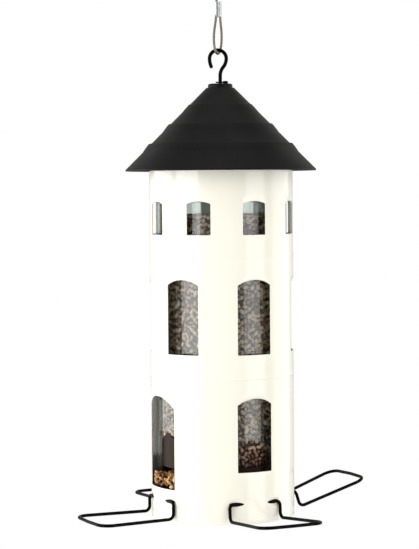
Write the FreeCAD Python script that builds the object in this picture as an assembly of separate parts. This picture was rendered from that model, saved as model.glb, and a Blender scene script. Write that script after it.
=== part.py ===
"""Hanging tube bird feeder: a windowed steel tower over a clear seed tube, with four folding
wire perches, a conical roof that lifts for filling, and a swivelling hook on a steel cable.

Millimetres, +Z up. The origin is the centre of the flat base. The front door faces -Y, the left
door -X, the right door +X and the rear door +Y. One STEP file is written for each sub-part.
"""
import FreeCAD, Part

import math
import os

from FreeCAD import Vector

# ---- clearances ----
RUNNING_GAP = 0.3         # between pieces that move past each other
SLIP_GAP = 0.3            # between a moulding and the tube that it slips into
SCREW_GAP = 0.1           # round a screw, rivet or pin in its hole
LID_GAP = 1.2             # round the cap, inside the hole of the roof
SLOT_GAP = 0.4            # round the perch wire, where it enters the tower wall

# ---- tower ----
TOWER_RADIUS = 55.0
TOWER_HEIGHT = 276.0
SHELL_WALL = 0.8
BEAD_HEIGHT = 0.35        # how far a pressed ring bead stands out
BEADS = ((199.6, 3.6), (108.6, 2.2))     # height of each ring bead, and its width

# ---- windows and doors: half width across the wall, sill, springing and crown of the arch ----
UPPER_WINDOW = (9.5, 215.7, 239.0, 240.9)
MIDDLE_WINDOW = (13.9, 126.3, 178.3, 182.5)
NARROW_DOOR = (14.4, 38.7, 89.2, 94.0)
WIDE_DOOR = (20.6, 24.2, 85.0, 94.0)
UPPER_COUNT = 8
MIDDLE_COUNT = 6
FRONT, LEFT, RIGHT, REAR = 270.0, 180.0, 0.0, 90.0    # degrees about +Z from +X
WINDOW_EDGE = 0.6         # radius of the lower corners of each window

# ---- seed tube ----
TUBE_RADIUS = 50.0
TUBE_WALL = 3.0
TUBE_HEADROOM = 14.0      # from the top of the tube up to the rim of the tower
NARROW_PORT = (11.5, 39.0, 58.0, 62.0)
WIDE_PORT = (18.5, 24.2, 61.0, 67.0)
SEED_LEVEL = 230.5

# ---- base, tray and ramp ----
PAN_THICKNESS = 1.6
TRAY_FLOOR_TOP = 22.0
TRAY_FLOOR_THICKNESS = 2.0
TRAY_SKIRT_WALL = 5.4
FOOT_RING_HEIGHT = 2.0
FOOT_RING_PLAY = 0.6      # short of the other mouldings, so that it drops in freely
DRAIN_COUNT = 8
DRAIN_RADIUS = 1.6
DRAIN_CIRCLE = 30.0
DRAIN_START = 22.5        # degrees, so that no drain meets a screw boss
SCREW_COUNT = 4
SCREW_CIRCLE = 40.0
SCREW_RADIUS = 1.4
SCREW_HEAD_RADIUS = 3.0
SCREW_LENGTH = 13.0
BOSS_RADIUS = 4.2
RAMP_RIDGE_HEIGHT = 66.0
RAMP_SLOPE = 0.55         # fall of each side of the ramp per millimetre across
RAMP_THICKNESS = 2.0
RAMP_SKIRT_WALL = 2.0
RAMP_MOUTH_SPRINGING = 38.6       # of the opening under the ramp's wall, to left and right
RAMP_MOUTH_CROWN = 39.0
FEED_HOLE_RADIUS = 6.0
FEED_HOLE_ALONG = 22.0
FEED_HOLE_ACROSS = 22.0
HEAP_HEIGHT = 12.0
HEAP_RADIUS = 30.0
HEAP_TOP_RADIUS = 22.0
HEAP_CENTRE = 36.0
HEAP_EDGE_GAP = 0.6       # between the loose seed and the tower's wall

# ---- collar at the top of the tube ----
COLLAR_SKIRT = 14.0
COLLAR_LIP_HEIGHT = 2.0
COLLAR_LIP_WIDTH = 3.4

# ---- perches ----
PERCH_WIRE_RADIUS = 1.25
PIVOT_INSET = 2.5         # how far each hinge line lies inside the tower's outer face
PIVOT_HEIGHT = 15.4
PIVOT_END = 6.0           # where each wire end stops, from the middle of the hinge line
LEG_PLAY = 0.37           # between each leg and the tower wall
LEG_DROP = 12.4
PERCH_REACH = 59.5        # from the hinge line to the outer edge
PERCH_HALF_WIDTH = 26.0
PERCH_BOW = 1.2
PERCH_EAR_BEND = 3.0
PERCH_LEG_BEND = 4.0
PERCH_CORNER_BEND = 9.0
PERCH_EDGE_BEND = 60.0
PERCHES = {"front": (FRONT, 4.5), "left": (LEFT, 0.0), "right": (RIGHT, 18.0), "rear": (REAR, 0.0)}

# ---- roof ----
ROOF_RISE = 6.8           # how far the 45 degree outer surface clears the rim of the tower
ROOF_EAVES = 17.9         # how far the roof reaches past the tower
ROOF_WALL = 1.5
RIM_ROUND = 0.5
COLLAR_RING_RADIUS = 14.0 # of the ring that lines the hole of the roof
COLLAR_RING_LAP = 4.0     # how far the ring's flange reaches under the cone
COLLAR_RING_WALL = 1.2
ROOF_LEDGES = ((23.7, 0.5), (38.9, 1.0), (54.0, 1.3))     # radius of each ledge, and its height
LEDGE_RUN = 5.6           # how far below its edge a ledge blends into the cone
LEDGE_NOSE = 0.5
SEAT_RING_INNER = 51.0
SEAT_RING_HEIGHT = 2.5
SEAT_SKIRT_DEPTH = 8.0
SEAT_SKIRT_WALL = 1.4
SEAT_SKIRT_PLAY = 2.2     # room for the rivet heads, outside the tower

# ---- hanger: the hook lies in a plane turned from the X axis ----
HOOK_TURN = -30.0
HOOK_WIRE_RADIUS = 1.4
STEM_RISE = 6.1           # straight stem above the cap
HOOK_SET = 4.75           # sideways set of the neck
HOOK_NECK_RISE = 13.2
CROWN_RADIUS = 6.4
TIP_IN = 1.85             # how far the open end curls back in
TIP_DROP = 7.3
STEM_TAIL = 2.4           # below the nut
NUT_RADIUS = 4.2
NUT_HEIGHT = 4.0
BAR_WIDTH = 14.0
BAR_THICKNESS = 2.0
BAR_DROP = 1.0            # below the rim of the tower
BAR_TAB = 10.7
RIVET_RADIUS = 1.6
RIVET_HEAD_RADIUS = 3.0
RIVET_HEAD_HEIGHT = 1.1
RIVET_TAIL_RADIUS = 2.4
RIVET_TAIL_HEIGHT = 1.2
SPACER_RADIUS = 4.0
CAP_RADIUS = 9.4
CAP_THICKNESS = 3.2
CAP_SINK = 7.6            # top of the cap below the apex of the cone
CAP_EDGE = 1.4
PIN_RADIUS = 0.55
PIN_REACH = 3.4
PIN_EYE_RADIUS = 1.25
PIN_EYE_WIRE = 0.95
PIN_EYE_CENTRE = 3.9
PIN_RISE = 1.2            # above the cap

# ---- cable ----
CABLE_RADIUS = 1.0
FERRULE_WALL = 0.5
FERRULE_LENGTH = 11.7
FERRULE_WAIST = 0.2       # how far each side of the ferrule is pressed in between its barrels
LOWER_FERRULE_FOOT = 31.5         # heights of the ferrules above the centre of the crown
UPPER_FERRULE_FOOT = 54.5
STRAND_LEFT = -2.4
STRAND_RIGHT = 0.0
# Points of the cable, from its tail in the lower ferrule, round the hook, up through both
# ferrules, round the eye and back: along the hook's plane, across it, and the height above
# the centre of the hook's crown.
CABLE_ROUTE = (
    (0.0, 0.0, 42.0),
    (0.0, 0.0, 32.5),
    (1.6, 2.6, 16.5),
    (-0.2, 4.0, 3.6),
    (-3.4, -4.0, 3.6),
    (-5.0, -2.6, 16.5),
    (-2.4, 0.0, 32.5),
    (-2.4, 0.0, 66.0),
    (-13.9, 0.0, 88.5),
    (-7.55, 0.0, 99.5),
    (5.15, 0.0, 99.5),
    (11.5, 0.0, 88.5),
    (0.0, 0.0, 66.0),
    (0.0, 0.0, 55.0),
)
CABLE_BEND = 0.45         # share of the shorter run that each bend takes

# ---- sizes that follow from those above ----
PIVOT_RADIUS = TOWER_RADIUS - PIVOT_INSET
LEG_OFFSET = math.sqrt((TOWER_RADIUS + LEG_PLAY + PERCH_WIRE_RADIUS) ** 2 - PIVOT_RADIUS ** 2)
ROOF_RADIUS = TOWER_RADIUS + ROOF_EAVES
ROOF_APEX = TOWER_HEIGHT + TOWER_RADIUS + ROOF_RISE
SHELL_INNER = TOWER_RADIUS - SHELL_WALL
FIT_RADIUS = SHELL_INNER - SLIP_GAP        # mouldings that slip into the tower
TUBE_INNER = TUBE_RADIUS - TUBE_WALL
TUBE_TOP = TOWER_HEIGHT - TUBE_HEADROOM
LINER_RADIUS = TUBE_INNER - SLIP_GAP       # what slips into the seed tube
BAR_TOP = TOWER_HEIGHT - BAR_DROP
BAR_BOTTOM = BAR_TOP - BAR_THICKNESS
RIVET_HEIGHT = BAR_TOP - BAR_TAB / 2
CAP_TOP = ROOF_APEX - CAP_SINK
CAP_BOTTOM = CAP_TOP - CAP_THICKNESS
NUT_TOP = BAR_BOTTOM - RUNNING_GAP
STEM_BOTTOM = NUT_TOP - NUT_HEIGHT - STEM_TAIL
HOOK_STEM_TOP = CAP_TOP + STEM_RISE
CROWN_HEIGHT = HOOK_STEM_TOP + HOOK_NECK_RISE
ROOF_HOLE = CAP_RADIUS + LID_GAP
INNER_APEX = ROOF_APEX - ROOF_WALL * math.sqrt(2)
SEAT_HEIGHT = TOWER_HEIGHT + RUNNING_GAP
Z_AXIS = Vector(0, 0, 1)
X_AXIS = Vector(1, 0, 0)
ORIGIN = Vector(0, 0, 0)


def turned(shape, degrees, axis=Z_AXIS, about=ORIGIN):
    """A copy of the shape, turned about an axis."""
    copy = shape.copy()
    copy.rotate(about, axis, degrees)
    return copy


def tube(outer, inner, bottom, top):
    """A round tube on the tower's axis."""
    body = Part.makeCylinder(outer, top - bottom, Vector(0, 0, bottom))
    return body.cut(Part.makeCylinder(inner, top - bottom, Vector(0, 0, bottom)))


def disc(radius, bottom, top, x=0.0, y=0.0):
    """An upright cylinder."""
    return Part.makeCylinder(radius, top - bottom, Vector(x, y, bottom))


def ring_of(shape, count, start=0.0):
    """Copies of the shape, evenly spaced about the tower's axis."""
    return [turned(shape, start + 360.0 * i / count) for i in range(count)]


def one_of(shapes):
    """The shapes joined into one."""
    joined = shapes[0]
    if len(shapes) > 1:
        joined = joined.multiFuse(shapes[1:])
    return joined.removeSplitter()


def revolved(edges):
    """A solid of revolution about the tower's axis, from edges in the XZ plane."""
    return Part.Face(Part.Wire(edges)).revolve(ORIGIN, Z_AXIS, 360)


def closed_profile(points):
    """Straight edges round a list of (radius, height) points."""
    corners = [Vector(r, 0, z) for r, z in points]
    return [Part.makeLine(a, b) for a, b in zip(corners, corners[1:] + corners[:1])]


def rounded_path(points, radii):
    """A wire of straight runs joined by tangent arcs, one radius for each inner point."""
    edges = []
    start = points[0]
    for before, corner, after, radius in zip(points, points[1:], points[2:], radii):
        back = (before - corner).normalize()
        ahead = (after - corner).normalize()
        half_turn = (math.pi - back.getAngle(ahead)) / 2
        reach = radius * math.tan(half_turn)
        bisector = (back + ahead).normalize()
        middle = corner + bisector * (radius / math.cos(half_turn) - radius)
        arc = Part.Arc(corner + back * reach, middle, corner + ahead * reach)
        edges.append(Part.LineSegment(start, arc.StartPoint).toShape())
        edges.append(arc.toShape())
        start = arc.EndPoint
    edges.append(Part.LineSegment(start, points[-1]).toShape())
    return Part.Wire(edges)


def wire_rod(path, radius):
    """A round rod that follows a path."""
    first = path.Edges[0]
    heading = first.tangentAt(first.FirstParameter)
    section = Part.Wire([Part.Circle(first.valueAt(first.FirstParameter), heading, radius).toShape()])
    rod = path.makePipeShell([section], True, True)
    return Part.Solid(rod) if rod.ShapeType == "Shell" else rod


def arched_cutter(window, angle, wall_inner, wall_outer):
    """A radial block with an arched top, which cuts one window through a round wall."""
    half, sill, springing, crown = window
    inner = math.sqrt(wall_inner ** 2 - half ** 2) - 1
    outer = wall_outer + 1
    edge = WINDOW_EDGE
    corner = edge * (1 - math.sqrt(0.5))
    left = Part.LineSegment(Vector(inner, -half, springing), Vector(inner, -half, sill + edge))
    low_left = Part.Arc(left.EndPoint, Vector(inner, corner - half, sill + corner),
                        Vector(inner, edge - half, sill))
    bottom = Part.LineSegment(low_left.EndPoint, Vector(inner, half - edge, sill))
    low_right = Part.Arc(bottom.EndPoint, Vector(inner, half - corner, sill + corner),
                         Vector(inner, half, sill + edge))
    right = Part.LineSegment(low_right.EndPoint, Vector(inner, half, springing))
    arch = Part.Arc(right.EndPoint, Vector(inner, 0, crown), left.StartPoint)
    outline = Part.Wire([e.toShape() for e in (left, low_left, bottom, low_right, right, arch)])
    block = Part.Face(outline).extrude(Vector(outer - inner, 0, 0))
    return turned(block, angle)


def pivot_bores(inner, outer, gap):
    """Bores along the four hinge lines, on both sides of each door, between two offsets."""
    bores = []
    for angle, _ in PERCHES.values():
        for side in (-1, 1):
            start = Vector(PIVOT_RADIUS, side * inner, PIVOT_HEIGHT)
            bore = Part.makeCylinder(PERCH_WIRE_RADIUS + gap, outer - inner, start, Vector(0, side, 0))
            bores.append(turned(bore, angle))
    return bores


def tower_shell():
    """Steel tube with ring beads, windows, doors, perch slots and rivet holes."""
    shell = disc(TOWER_RADIUS, 0, TOWER_HEIGHT)
    for height, width in BEADS:
        low = Vector(TOWER_RADIUS, 0, height - width / 2)
        top = Vector(TOWER_RADIUS + BEAD_HEIGHT, 0, height)
        high = Vector(TOWER_RADIUS, 0, height + width / 2)
        root = Vector(TOWER_RADIUS - SHELL_WALL, 0, height)
        crest = Part.Arc(low, top, high).toShape()
        bead = revolved([crest, Part.makeLine(high, root), Part.makeLine(root, low)])
        shell = shell.fuse(bead)
    shell = shell.cut(disc(SHELL_INNER, -1, TOWER_HEIGHT + 1))
    openings = [(UPPER_WINDOW, FRONT + 360.0 * i / UPPER_COUNT) for i in range(UPPER_COUNT)]
    openings += [(MIDDLE_WINDOW, FRONT + 360.0 * i / MIDDLE_COUNT) for i in range(MIDDLE_COUNT)]
    openings += [(NARROW_DOOR, FRONT), (NARROW_DOOR, REAR), (WIDE_DOOR, LEFT), (WIDE_DOOR, RIGHT)]
    cutters = [arched_cutter(window, angle, SHELL_INNER, TOWER_RADIUS) for window, angle in openings]
    cutters += pivot_bores(0, LEG_OFFSET, SLOT_GAP)
    cutters += rivet_holes()
    return shell.cut(cutters).removeSplitter()


def rivet_holes():
    """Holes for the two rivets of the hanger bar."""
    start = FIT_RADIUS - 2 * BAR_THICKNESS
    hole = Part.makeCylinder(RIVET_RADIUS + SCREW_GAP, TOWER_RADIUS + 1 - start,
                             Vector(start, 0, RIVET_HEIGHT), X_AXIS)
    return ring_of(hole, 2, HOOK_TURN)


def screw_places():
    """Where the base screws stand, between the doors."""
    return [math.radians(45 + 360.0 * i / SCREW_COUNT) for i in range(SCREW_COUNT)]


def base_screws():
    """Countersunk screws that hold the pan and the tray together."""
    screws = []
    for turn in screw_places():
        place = Vector(SCREW_CIRCLE * math.cos(turn), SCREW_CIRCLE * math.sin(turn), SCREW_GAP)
        head = Part.makeCone(SCREW_HEAD_RADIUS, SCREW_RADIUS, PAN_THICKNESS - SCREW_GAP, place)
        slot = Part.makeBox(2 * SCREW_HEAD_RADIUS, 0.8, 0.6, place - Vector(SCREW_HEAD_RADIUS, 0.4, 0))
        shank = Part.makeCylinder(SCREW_RADIUS, SCREW_LENGTH, place + Vector(0, 0, SCREW_GAP))
        screws.append(head.fuse(shank).cut(slot).removeSplitter())
    return Part.Compound(screws)


def floor_pan():
    """Flat steel disc that closes the foot of the tower, drained and countersunk."""
    pan = disc(FIT_RADIUS, 0, PAN_THICKNESS)
    cutters = ring_of(disc(DRAIN_RADIUS, -1, PAN_THICKNESS + 1, DRAIN_CIRCLE), DRAIN_COUNT, DRAIN_START)
    for turn in screw_places():
        place = Vector(SCREW_CIRCLE * math.cos(turn), SCREW_CIRCLE * math.sin(turn), 0)
        cutters.append(Part.makeCone(SCREW_HEAD_RADIUS + 2 * SCREW_GAP, SCREW_RADIUS + SCREW_GAP,
                                     PAN_THICKNESS, place))
    return pan.cut(cutters)


def feed_tray():
    """Moulded tray: a drained floor, a skirt that carries the perch ends, and screw bosses."""
    floor_bottom = TRAY_FLOOR_TOP - TRAY_FLOOR_THICKNESS
    parts = [disc(FIT_RADIUS, floor_bottom, TRAY_FLOOR_TOP)]
    parts.append(tube(FIT_RADIUS, FIT_RADIUS - TRAY_SKIRT_WALL, PAN_THICKNESS, floor_bottom))
    drain = disc(DRAIN_RADIUS, floor_bottom - 1, TRAY_FLOOR_TOP + 1, DRAIN_CIRCLE)
    cutters = ring_of(drain, DRAIN_COUNT, DRAIN_START)
    for turn in screw_places():
        x = SCREW_CIRCLE * math.cos(turn)
        y = SCREW_CIRCLE * math.sin(turn)
        parts.append(disc(BOSS_RADIUS, PAN_THICKNESS, floor_bottom, x, y))
        cutters.append(disc(SCREW_RADIUS + SCREW_GAP, 0, SCREW_LENGTH + 1, x, y))
    cutters += pivot_bores(0, LEG_OFFSET, RUNNING_GAP)
    return one_of(parts).cut(cutters)


def tube_foot_ring():
    """Ring on the tray that centres the foot of the seed tube."""
    top = TRAY_FLOOR_TOP + FOOT_RING_HEIGHT
    return tube(FIT_RADIUS - FOOT_RING_PLAY, TUBE_RADIUS + SLIP_GAP, TRAY_FLOOR_TOP, top)


def seed_tube():
    """Clear tube that holds the seed, with a port behind each door."""
    body = tube(TUBE_RADIUS, TUBE_INNER, TRAY_FLOOR_TOP, TUBE_TOP)
    ports = ((FRONT, NARROW_PORT), (REAR, NARROW_PORT), (LEFT, WIDE_PORT), (RIGHT, WIDE_PORT))
    return body.cut([arched_cutter(port, angle, TUBE_INNER, TUBE_RADIUS) for angle, port in ports])


def gable(drop):
    """The space under the ramp's two slopes, lowered by drop, out to the liner's radius."""
    ridge = RAMP_RIDGE_HEIGHT - drop
    half = LINER_RADIUS
    outline = Part.makePolygon([
        Vector(-half, -half, TRAY_FLOOR_TOP),
        Vector(-half, half, TRAY_FLOOR_TOP),
        Vector(-half, half, ridge - RAMP_SLOPE * half),
        Vector(-half, 0, ridge),
        Vector(-half, -half, ridge - RAMP_SLOPE * half),
        Vector(-half, -half, TRAY_FLOOR_TOP),
    ])
    block = Part.Face(outline).extrude(Vector(2 * half, 0, 0))
    return block.common(disc(half, TRAY_FLOOR_TOP, RAMP_RIDGE_HEIGHT))


def seed_ramp():
    """Gabled ramp that sheds seed to the front and rear, hollow below, open to left and right."""
    skirt_inner = LINER_RADIUS - RAMP_SKIRT_WALL
    hollow = gable(RAMP_THICKNESS).common(disc(skirt_inner, 0, RAMP_RIDGE_HEIGHT))
    half, sill = WIDE_PORT[:2]
    mouth = (half, sill, RAMP_MOUTH_SPRINGING, RAMP_MOUTH_CROWN)
    cutters = [arched_cutter(mouth, angle, skirt_inner, LINER_RADIUS) for angle in (LEFT, RIGHT)]
    for x in (-FEED_HOLE_ALONG, FEED_HOLE_ALONG):
        for y in (-FEED_HOLE_ACROSS, FEED_HOLE_ACROSS):
            cutters.append(disc(FEED_HOLE_RADIUS, TRAY_FLOOR_TOP + 10, RAMP_RIDGE_HEIGHT, x, y))
    return gable(0).cut(hollow).cut(cutters)


def seed_fill():
    """The seed in the tube, lying on the ramp."""
    return disc(LINER_RADIUS, TRAY_FLOOR_TOP, SEED_LEVEL).cut(gable(0))


def tray_seed():
    """Loose seed heaped on the tray, inside the left and right ports."""
    heaps = []
    limit = disc(SHELL_INNER - HEAP_EDGE_GAP, TRAY_FLOOR_TOP, TRAY_FLOOR_TOP + HEAP_HEIGHT)
    half, sill = WIDE_PORT[:2]
    sills = tube(TOWER_RADIUS, LINER_RADIUS - RAMP_SKIRT_WALL - SLIP_GAP, 0, sill + SLIP_GAP)
    lane = 2 * (half - 0.5)
    for side in (-1, 1):
        foot = Vector(side * HEAP_CENTRE, 0, TRAY_FLOOR_TOP)
        heap = Part.makeCone(HEAP_RADIUS, HEAP_TOP_RADIUS, HEAP_HEIGHT, foot)
        strip = Part.makeBox(2 * HEAP_RADIUS, lane, HEAP_HEIGHT, foot - Vector(HEAP_RADIUS, lane / 2, 0))
        heaps.append(heap.common(limit).common(strip).cut(sills))
    return Part.Compound(heaps)


def tube_collar():
    """Moulded collar that centres the top of the seed tube in the tower."""
    skirt = tube(FIT_RADIUS, TUBE_RADIUS + SLIP_GAP, TUBE_TOP - COLLAR_SKIRT, TUBE_TOP)
    lip = tube(FIT_RADIUS, TUBE_RADIUS - COLLAR_LIP_WIDTH, TUBE_TOP, TUBE_TOP + COLLAR_LIP_HEIGHT)
    return one_of([skirt, lip])


def hanger_bar():
    """Steel strip across the top of the tower, its ends folded down and riveted to the wall."""
    corner = Vector(-FIT_RADIUS, -BAR_WIDTH / 2, 0)
    tab_foot = BAR_TOP - BAR_TAB
    strip = Part.makeBox(2 * FIT_RADIUS, BAR_WIDTH, BAR_THICKNESS, corner + Vector(0, 0, BAR_BOTTOM))
    tabs = Part.makeBox(2 * FIT_RADIUS, BAR_WIDTH, BAR_TAB, corner + Vector(0, 0, tab_foot))
    tabs = tabs.common(tube(FIT_RADIUS, FIT_RADIUS - BAR_THICKNESS, tab_foot, BAR_TOP))
    bar = strip.common(disc(FIT_RADIUS, BAR_BOTTOM, BAR_TOP)).fuse(tabs)
    bar = turned(bar.cut(disc(HOOK_WIRE_RADIUS + RUNNING_GAP, BAR_BOTTOM - 1, BAR_TOP + 1)), HOOK_TURN)
    return bar.cut(rivet_holes()).removeSplitter()


def bar_rivets():
    """Dome-headed rivets through the tower wall and the folded ends of the bar."""
    tail = Vector(FIT_RADIUS - BAR_THICKNESS - RIVET_TAIL_HEIGHT, 0, RIVET_HEIGHT)
    seat = Vector(TOWER_RADIUS, 0, RIVET_HEIGHT)
    shank = Part.makeCylinder(RIVET_RADIUS, TOWER_RADIUS + RIVET_HEAD_HEIGHT / 2 - tail.x, tail, X_AXIS)
    inner = Part.makeCylinder(RIVET_TAIL_RADIUS, RIVET_TAIL_HEIGHT - 2 * SCREW_GAP, tail, X_AXIS)
    dome = Part.makeCone(RIVET_HEAD_RADIUS, RIVET_HEAD_RADIUS / 2, RIVET_HEAD_HEIGHT, seat, X_AXIS)
    return Part.Compound(ring_of(one_of([shank, inner, dome]), 2, HOOK_TURN))


def in_hook_plane(shape):
    """A shape drawn in the XZ plane, turned into the plane of the hook."""
    return turned(shape, HOOK_TURN)


def hanger_hook():
    """One wire: a straight stem, a neck set to one side and a hook open to the other side."""
    neck_angle = 2 * math.atan(HOOK_SET / HOOK_NECK_RISE)
    neck_radius = HOOK_NECK_RISE / (2 * math.sin(neck_angle))
    tip_angle = 2 * math.atan(TIP_IN / TIP_DROP)
    tip_radius = TIP_DROP / math.sin(tip_angle)
    stem_end = Vector(0, 0, HOOK_STEM_TOP)
    lower_centre = stem_end + Vector(neck_radius, 0, 0)
    neck_end = Vector(HOOK_SET, 0, CROWN_HEIGHT)
    upper_centre = neck_end - Vector(neck_radius, 0, 0)
    crown_centre = neck_end - Vector(CROWN_RADIUS, 0, 0)
    crown_end = crown_centre - Vector(CROWN_RADIUS, 0, 0)
    tip_centre = crown_end + Vector(tip_radius, 0, 0)

    def on_arc(centre, radius, angle):
        return centre + Vector(radius * math.cos(angle), 0, radius * math.sin(angle))

    middle = on_arc(lower_centre, neck_radius, math.pi - neck_angle)
    arcs = [
        Part.Arc(stem_end, on_arc(lower_centre, neck_radius, math.pi - neck_angle / 2), middle),
        Part.Arc(middle, on_arc(upper_centre, neck_radius, -neck_angle / 2), neck_end),
        Part.Arc(neck_end, crown_centre + Vector(0, 0, CROWN_RADIUS), crown_end),
        Part.Arc(crown_end, on_arc(tip_centre, tip_radius, math.pi + tip_angle / 2),
                 on_arc(tip_centre, tip_radius, math.pi + tip_angle)),
    ]
    stem = Part.LineSegment(Vector(0, 0, STEM_BOTTOM), stem_end).toShape()
    path = Part.Wire([stem] + [arc.toShape() for arc in arcs])
    hook = wire_rod(path, HOOK_WIRE_RADIUS)
    cross_hole = Part.makeCylinder(PIN_RADIUS + SCREW_GAP, 4 * HOOK_WIRE_RADIUS,
                                   Vector(-2 * HOOK_WIRE_RADIUS, 0, CAP_TOP + PIN_RISE), X_AXIS)
    return in_hook_plane(hook.cut(cross_hole))


def cap_pin():
    """Split pin through the stem, which keeps the cap down; its eye stands to one side."""
    height = CAP_TOP + PIN_RISE
    legs = Part.makeCylinder(PIN_RADIUS, PIN_REACH + PIN_EYE_CENTRE - PIN_EYE_RADIUS,
                             Vector(-PIN_REACH, 0, height), X_AXIS)
    eye = Part.makeTorus(PIN_EYE_RADIUS, PIN_EYE_WIRE, Vector(PIN_EYE_CENTRE, 0, height), Z_AXIS)
    return in_hook_plane(legs.fuse(eye).removeSplitter())


def stem_nut():
    """Six-sided nut under the bar."""
    foot = NUT_TOP - NUT_HEIGHT
    turns = [math.radians(60 * i) for i in range(7)]
    corners = [Vector(NUT_RADIUS * math.cos(t), NUT_RADIUS * math.sin(t), foot) for t in turns]
    block = Part.Face(Part.makePolygon(corners)).extrude(Vector(0, 0, NUT_HEIGHT))
    return block.cut(disc(HOOK_WIRE_RADIUS + SCREW_GAP, foot, NUT_TOP))


def stem_spacer():
    """Tube round the stem, between the bar and the cap."""
    return tube(SPACER_RADIUS, HOOK_WIRE_RADIUS + SCREW_GAP, BAR_TOP + RUNNING_GAP, CAP_BOTTOM)


def roof_cap():
    """Round cap on the stem, which fills the hole in the roof."""
    cap = disc(CAP_RADIUS, CAP_BOTTOM, CAP_TOP)
    upper_rim = [e for e in cap.Edges if e.BoundBox.ZMin > CAP_TOP - 1e-6]
    cap = cap.makeFillet(CAP_EDGE, upper_rim)
    return cap.cut(disc(HOOK_WIRE_RADIUS + SCREW_GAP, CAP_BOTTOM - 1, CAP_TOP + 1))


def on_cone(radius, proud=0.0):
    """A point of the roof's outer profile, standing proud along the surface's normal."""
    step = proud / math.sqrt(2)
    return Vector(radius + step, 0, ROOF_APEX - radius + step)


def roof_cone():
    """Conical roof with three sharp-edged ledges, open at the top for its collar."""
    edges = []
    top = COLLAR_RING_RADIUS + SCREW_GAP
    place = on_cone(top)
    for radius, height in ROOF_LEDGES:
        above = on_cone(radius - LEDGE_NOSE)
        nose = on_cone(radius, height)
        foot = on_cone(radius + LEDGE_RUN)
        edges.append(Part.makeLine(place, above))
        edges.append(Part.makeLine(above, nose))
        edges.append(Part.Arc(nose, on_cone(radius + LEDGE_RUN / 2, height * 0.62), foot).toShape())
        place = foot
    rim = on_cone(ROOF_RADIUS)
    inner_rim = on_cone(ROOF_RADIUS, -ROOF_WALL)
    inner_top = Vector(top, 0, INNER_APEX - top)
    edges.append(Part.makeLine(place, rim))
    round_low = (rim + inner_rim) * 0.5 + Vector(1, 0, -1) * RIM_ROUND
    edges.append(Part.Arc(rim, round_low, inner_rim).toShape())
    edges.append(Part.makeLine(inner_rim, inner_top))
    edges.append(Part.makeLine(inner_top, on_cone(top)))
    return revolved(edges)


def roof_collar():
    """Flanged ring that lines the hole at the top of the roof and clears the cap."""
    under = INNER_APEX - SCREW_GAP * math.sqrt(2)
    low = under - COLLAR_RING_WALL * math.sqrt(2)
    lap = COLLAR_RING_RADIUS + COLLAR_RING_LAP
    return revolved(closed_profile([
        (ROOF_HOLE, ROOF_APEX - ROOF_HOLE),
        (ROOF_HOLE, low - ROOF_HOLE),
        (lap, low - lap),
        (lap, under - lap),
        (COLLAR_RING_RADIUS, under - COLLAR_RING_RADIUS),
        (COLLAR_RING_RADIUS, ROOF_APEX - COLLAR_RING_RADIUS),
    ]))


def roof_seat_ring():
    """Ring inside the roof that rests on the rim of the tower, with a skirt round the outside."""
    gap = SCREW_GAP
    top = SEAT_HEIGHT + SEAT_RING_HEIGHT
    skirt_inner = TOWER_RADIUS + SEAT_SKIRT_PLAY
    skirt_outer = skirt_inner + SEAT_SKIRT_WALL
    return revolved(closed_profile([
        (SEAT_RING_INNER, SEAT_HEIGHT),
        (skirt_inner, SEAT_HEIGHT),
        (skirt_inner, SEAT_HEIGHT - SEAT_SKIRT_DEPTH),
        (skirt_outer, SEAT_HEIGHT - SEAT_SKIRT_DEPTH),
        (skirt_outer, INNER_APEX - gap - skirt_outer),
        (INNER_APEX - gap - top, top),
        (SEAT_RING_INNER, top),
    ]))


def perch(angle, raised):
    """One wire loop: two ends in the hinge line, two legs down the wall and a bowed outer edge."""
    outer = PIVOT_RADIUS + PERCH_REACH
    low = PIVOT_HEIGHT - LEG_DROP
    half = [
        Vector(PIVOT_RADIUS, PIVOT_END, PIVOT_HEIGHT),
        Vector(PIVOT_RADIUS, LEG_OFFSET, PIVOT_HEIGHT),
        Vector(PIVOT_RADIUS, LEG_OFFSET, low),
        Vector(outer, PERCH_HALF_WIDTH, low),
    ]
    mirrored = [Vector(p.x, -p.y, p.z) for p in reversed(half)]
    points = half + [Vector(outer + PERCH_BOW, 0, low)] + mirrored
    bends = [PERCH_EAR_BEND, PERCH_LEG_BEND, PERCH_CORNER_BEND]
    radii = bends + [PERCH_EDGE_BEND] + bends[::-1]
    loop = wire_rod(rounded_path(points, radii), PERCH_WIRE_RADIUS)
    loop = turned(loop, -raised, Vector(0, 1, 0), Vector(PIVOT_RADIUS, 0, PIVOT_HEIGHT))
    return turned(loop, angle)


def cable():
    """Steel rope of straight runs and tangent arcs; its radii and volume are printed."""
    points = [Vector(along, across, CROWN_HEIGHT + rise) for along, across, rise in CABLE_ROUTE]
    radii = []
    for before, corner, after in zip(points, points[1:], points[2:]):
        run_in = corner - before
        run_out = after - corner
        half_turn = run_in.getAngle(run_out) / 2
        radii.append(CABLE_BEND * min(run_in.Length, run_out.Length) / math.tan(half_turn))
    path = rounded_path(points, radii)
    rope = wire_rod(path, CABLE_RADIUS)
    expected = math.pi * CABLE_RADIUS ** 2 * path.Length
    print("cable radii", [round(r, 1) for r in radii], "length", round(path.Length, 1))
    print("cable volume", round(rope.Volume, 1), "section times length", round(expected, 1))
    return in_hook_plane(rope)


def ferrule(rise):
    """Pressed double-barrel sleeve round the two strands of the cable."""
    foot = CROWN_HEIGHT + rise
    middle = (STRAND_LEFT + STRAND_RIGHT) / 2
    half = CABLE_RADIUS + FERRULE_WALL
    reach = (STRAND_RIGHT - STRAND_LEFT) / 2
    waist = half - FERRULE_WAIST
    web = Part.makeBox(2 * reach, 2 * waist, FERRULE_LENGTH, Vector(middle - reach, -waist, foot))
    barrels = [disc(half, foot, foot + FERRULE_LENGTH, x) for x in (STRAND_LEFT, STRAND_RIGHT)]
    return in_hook_plane(one_of([web] + barrels))


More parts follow.
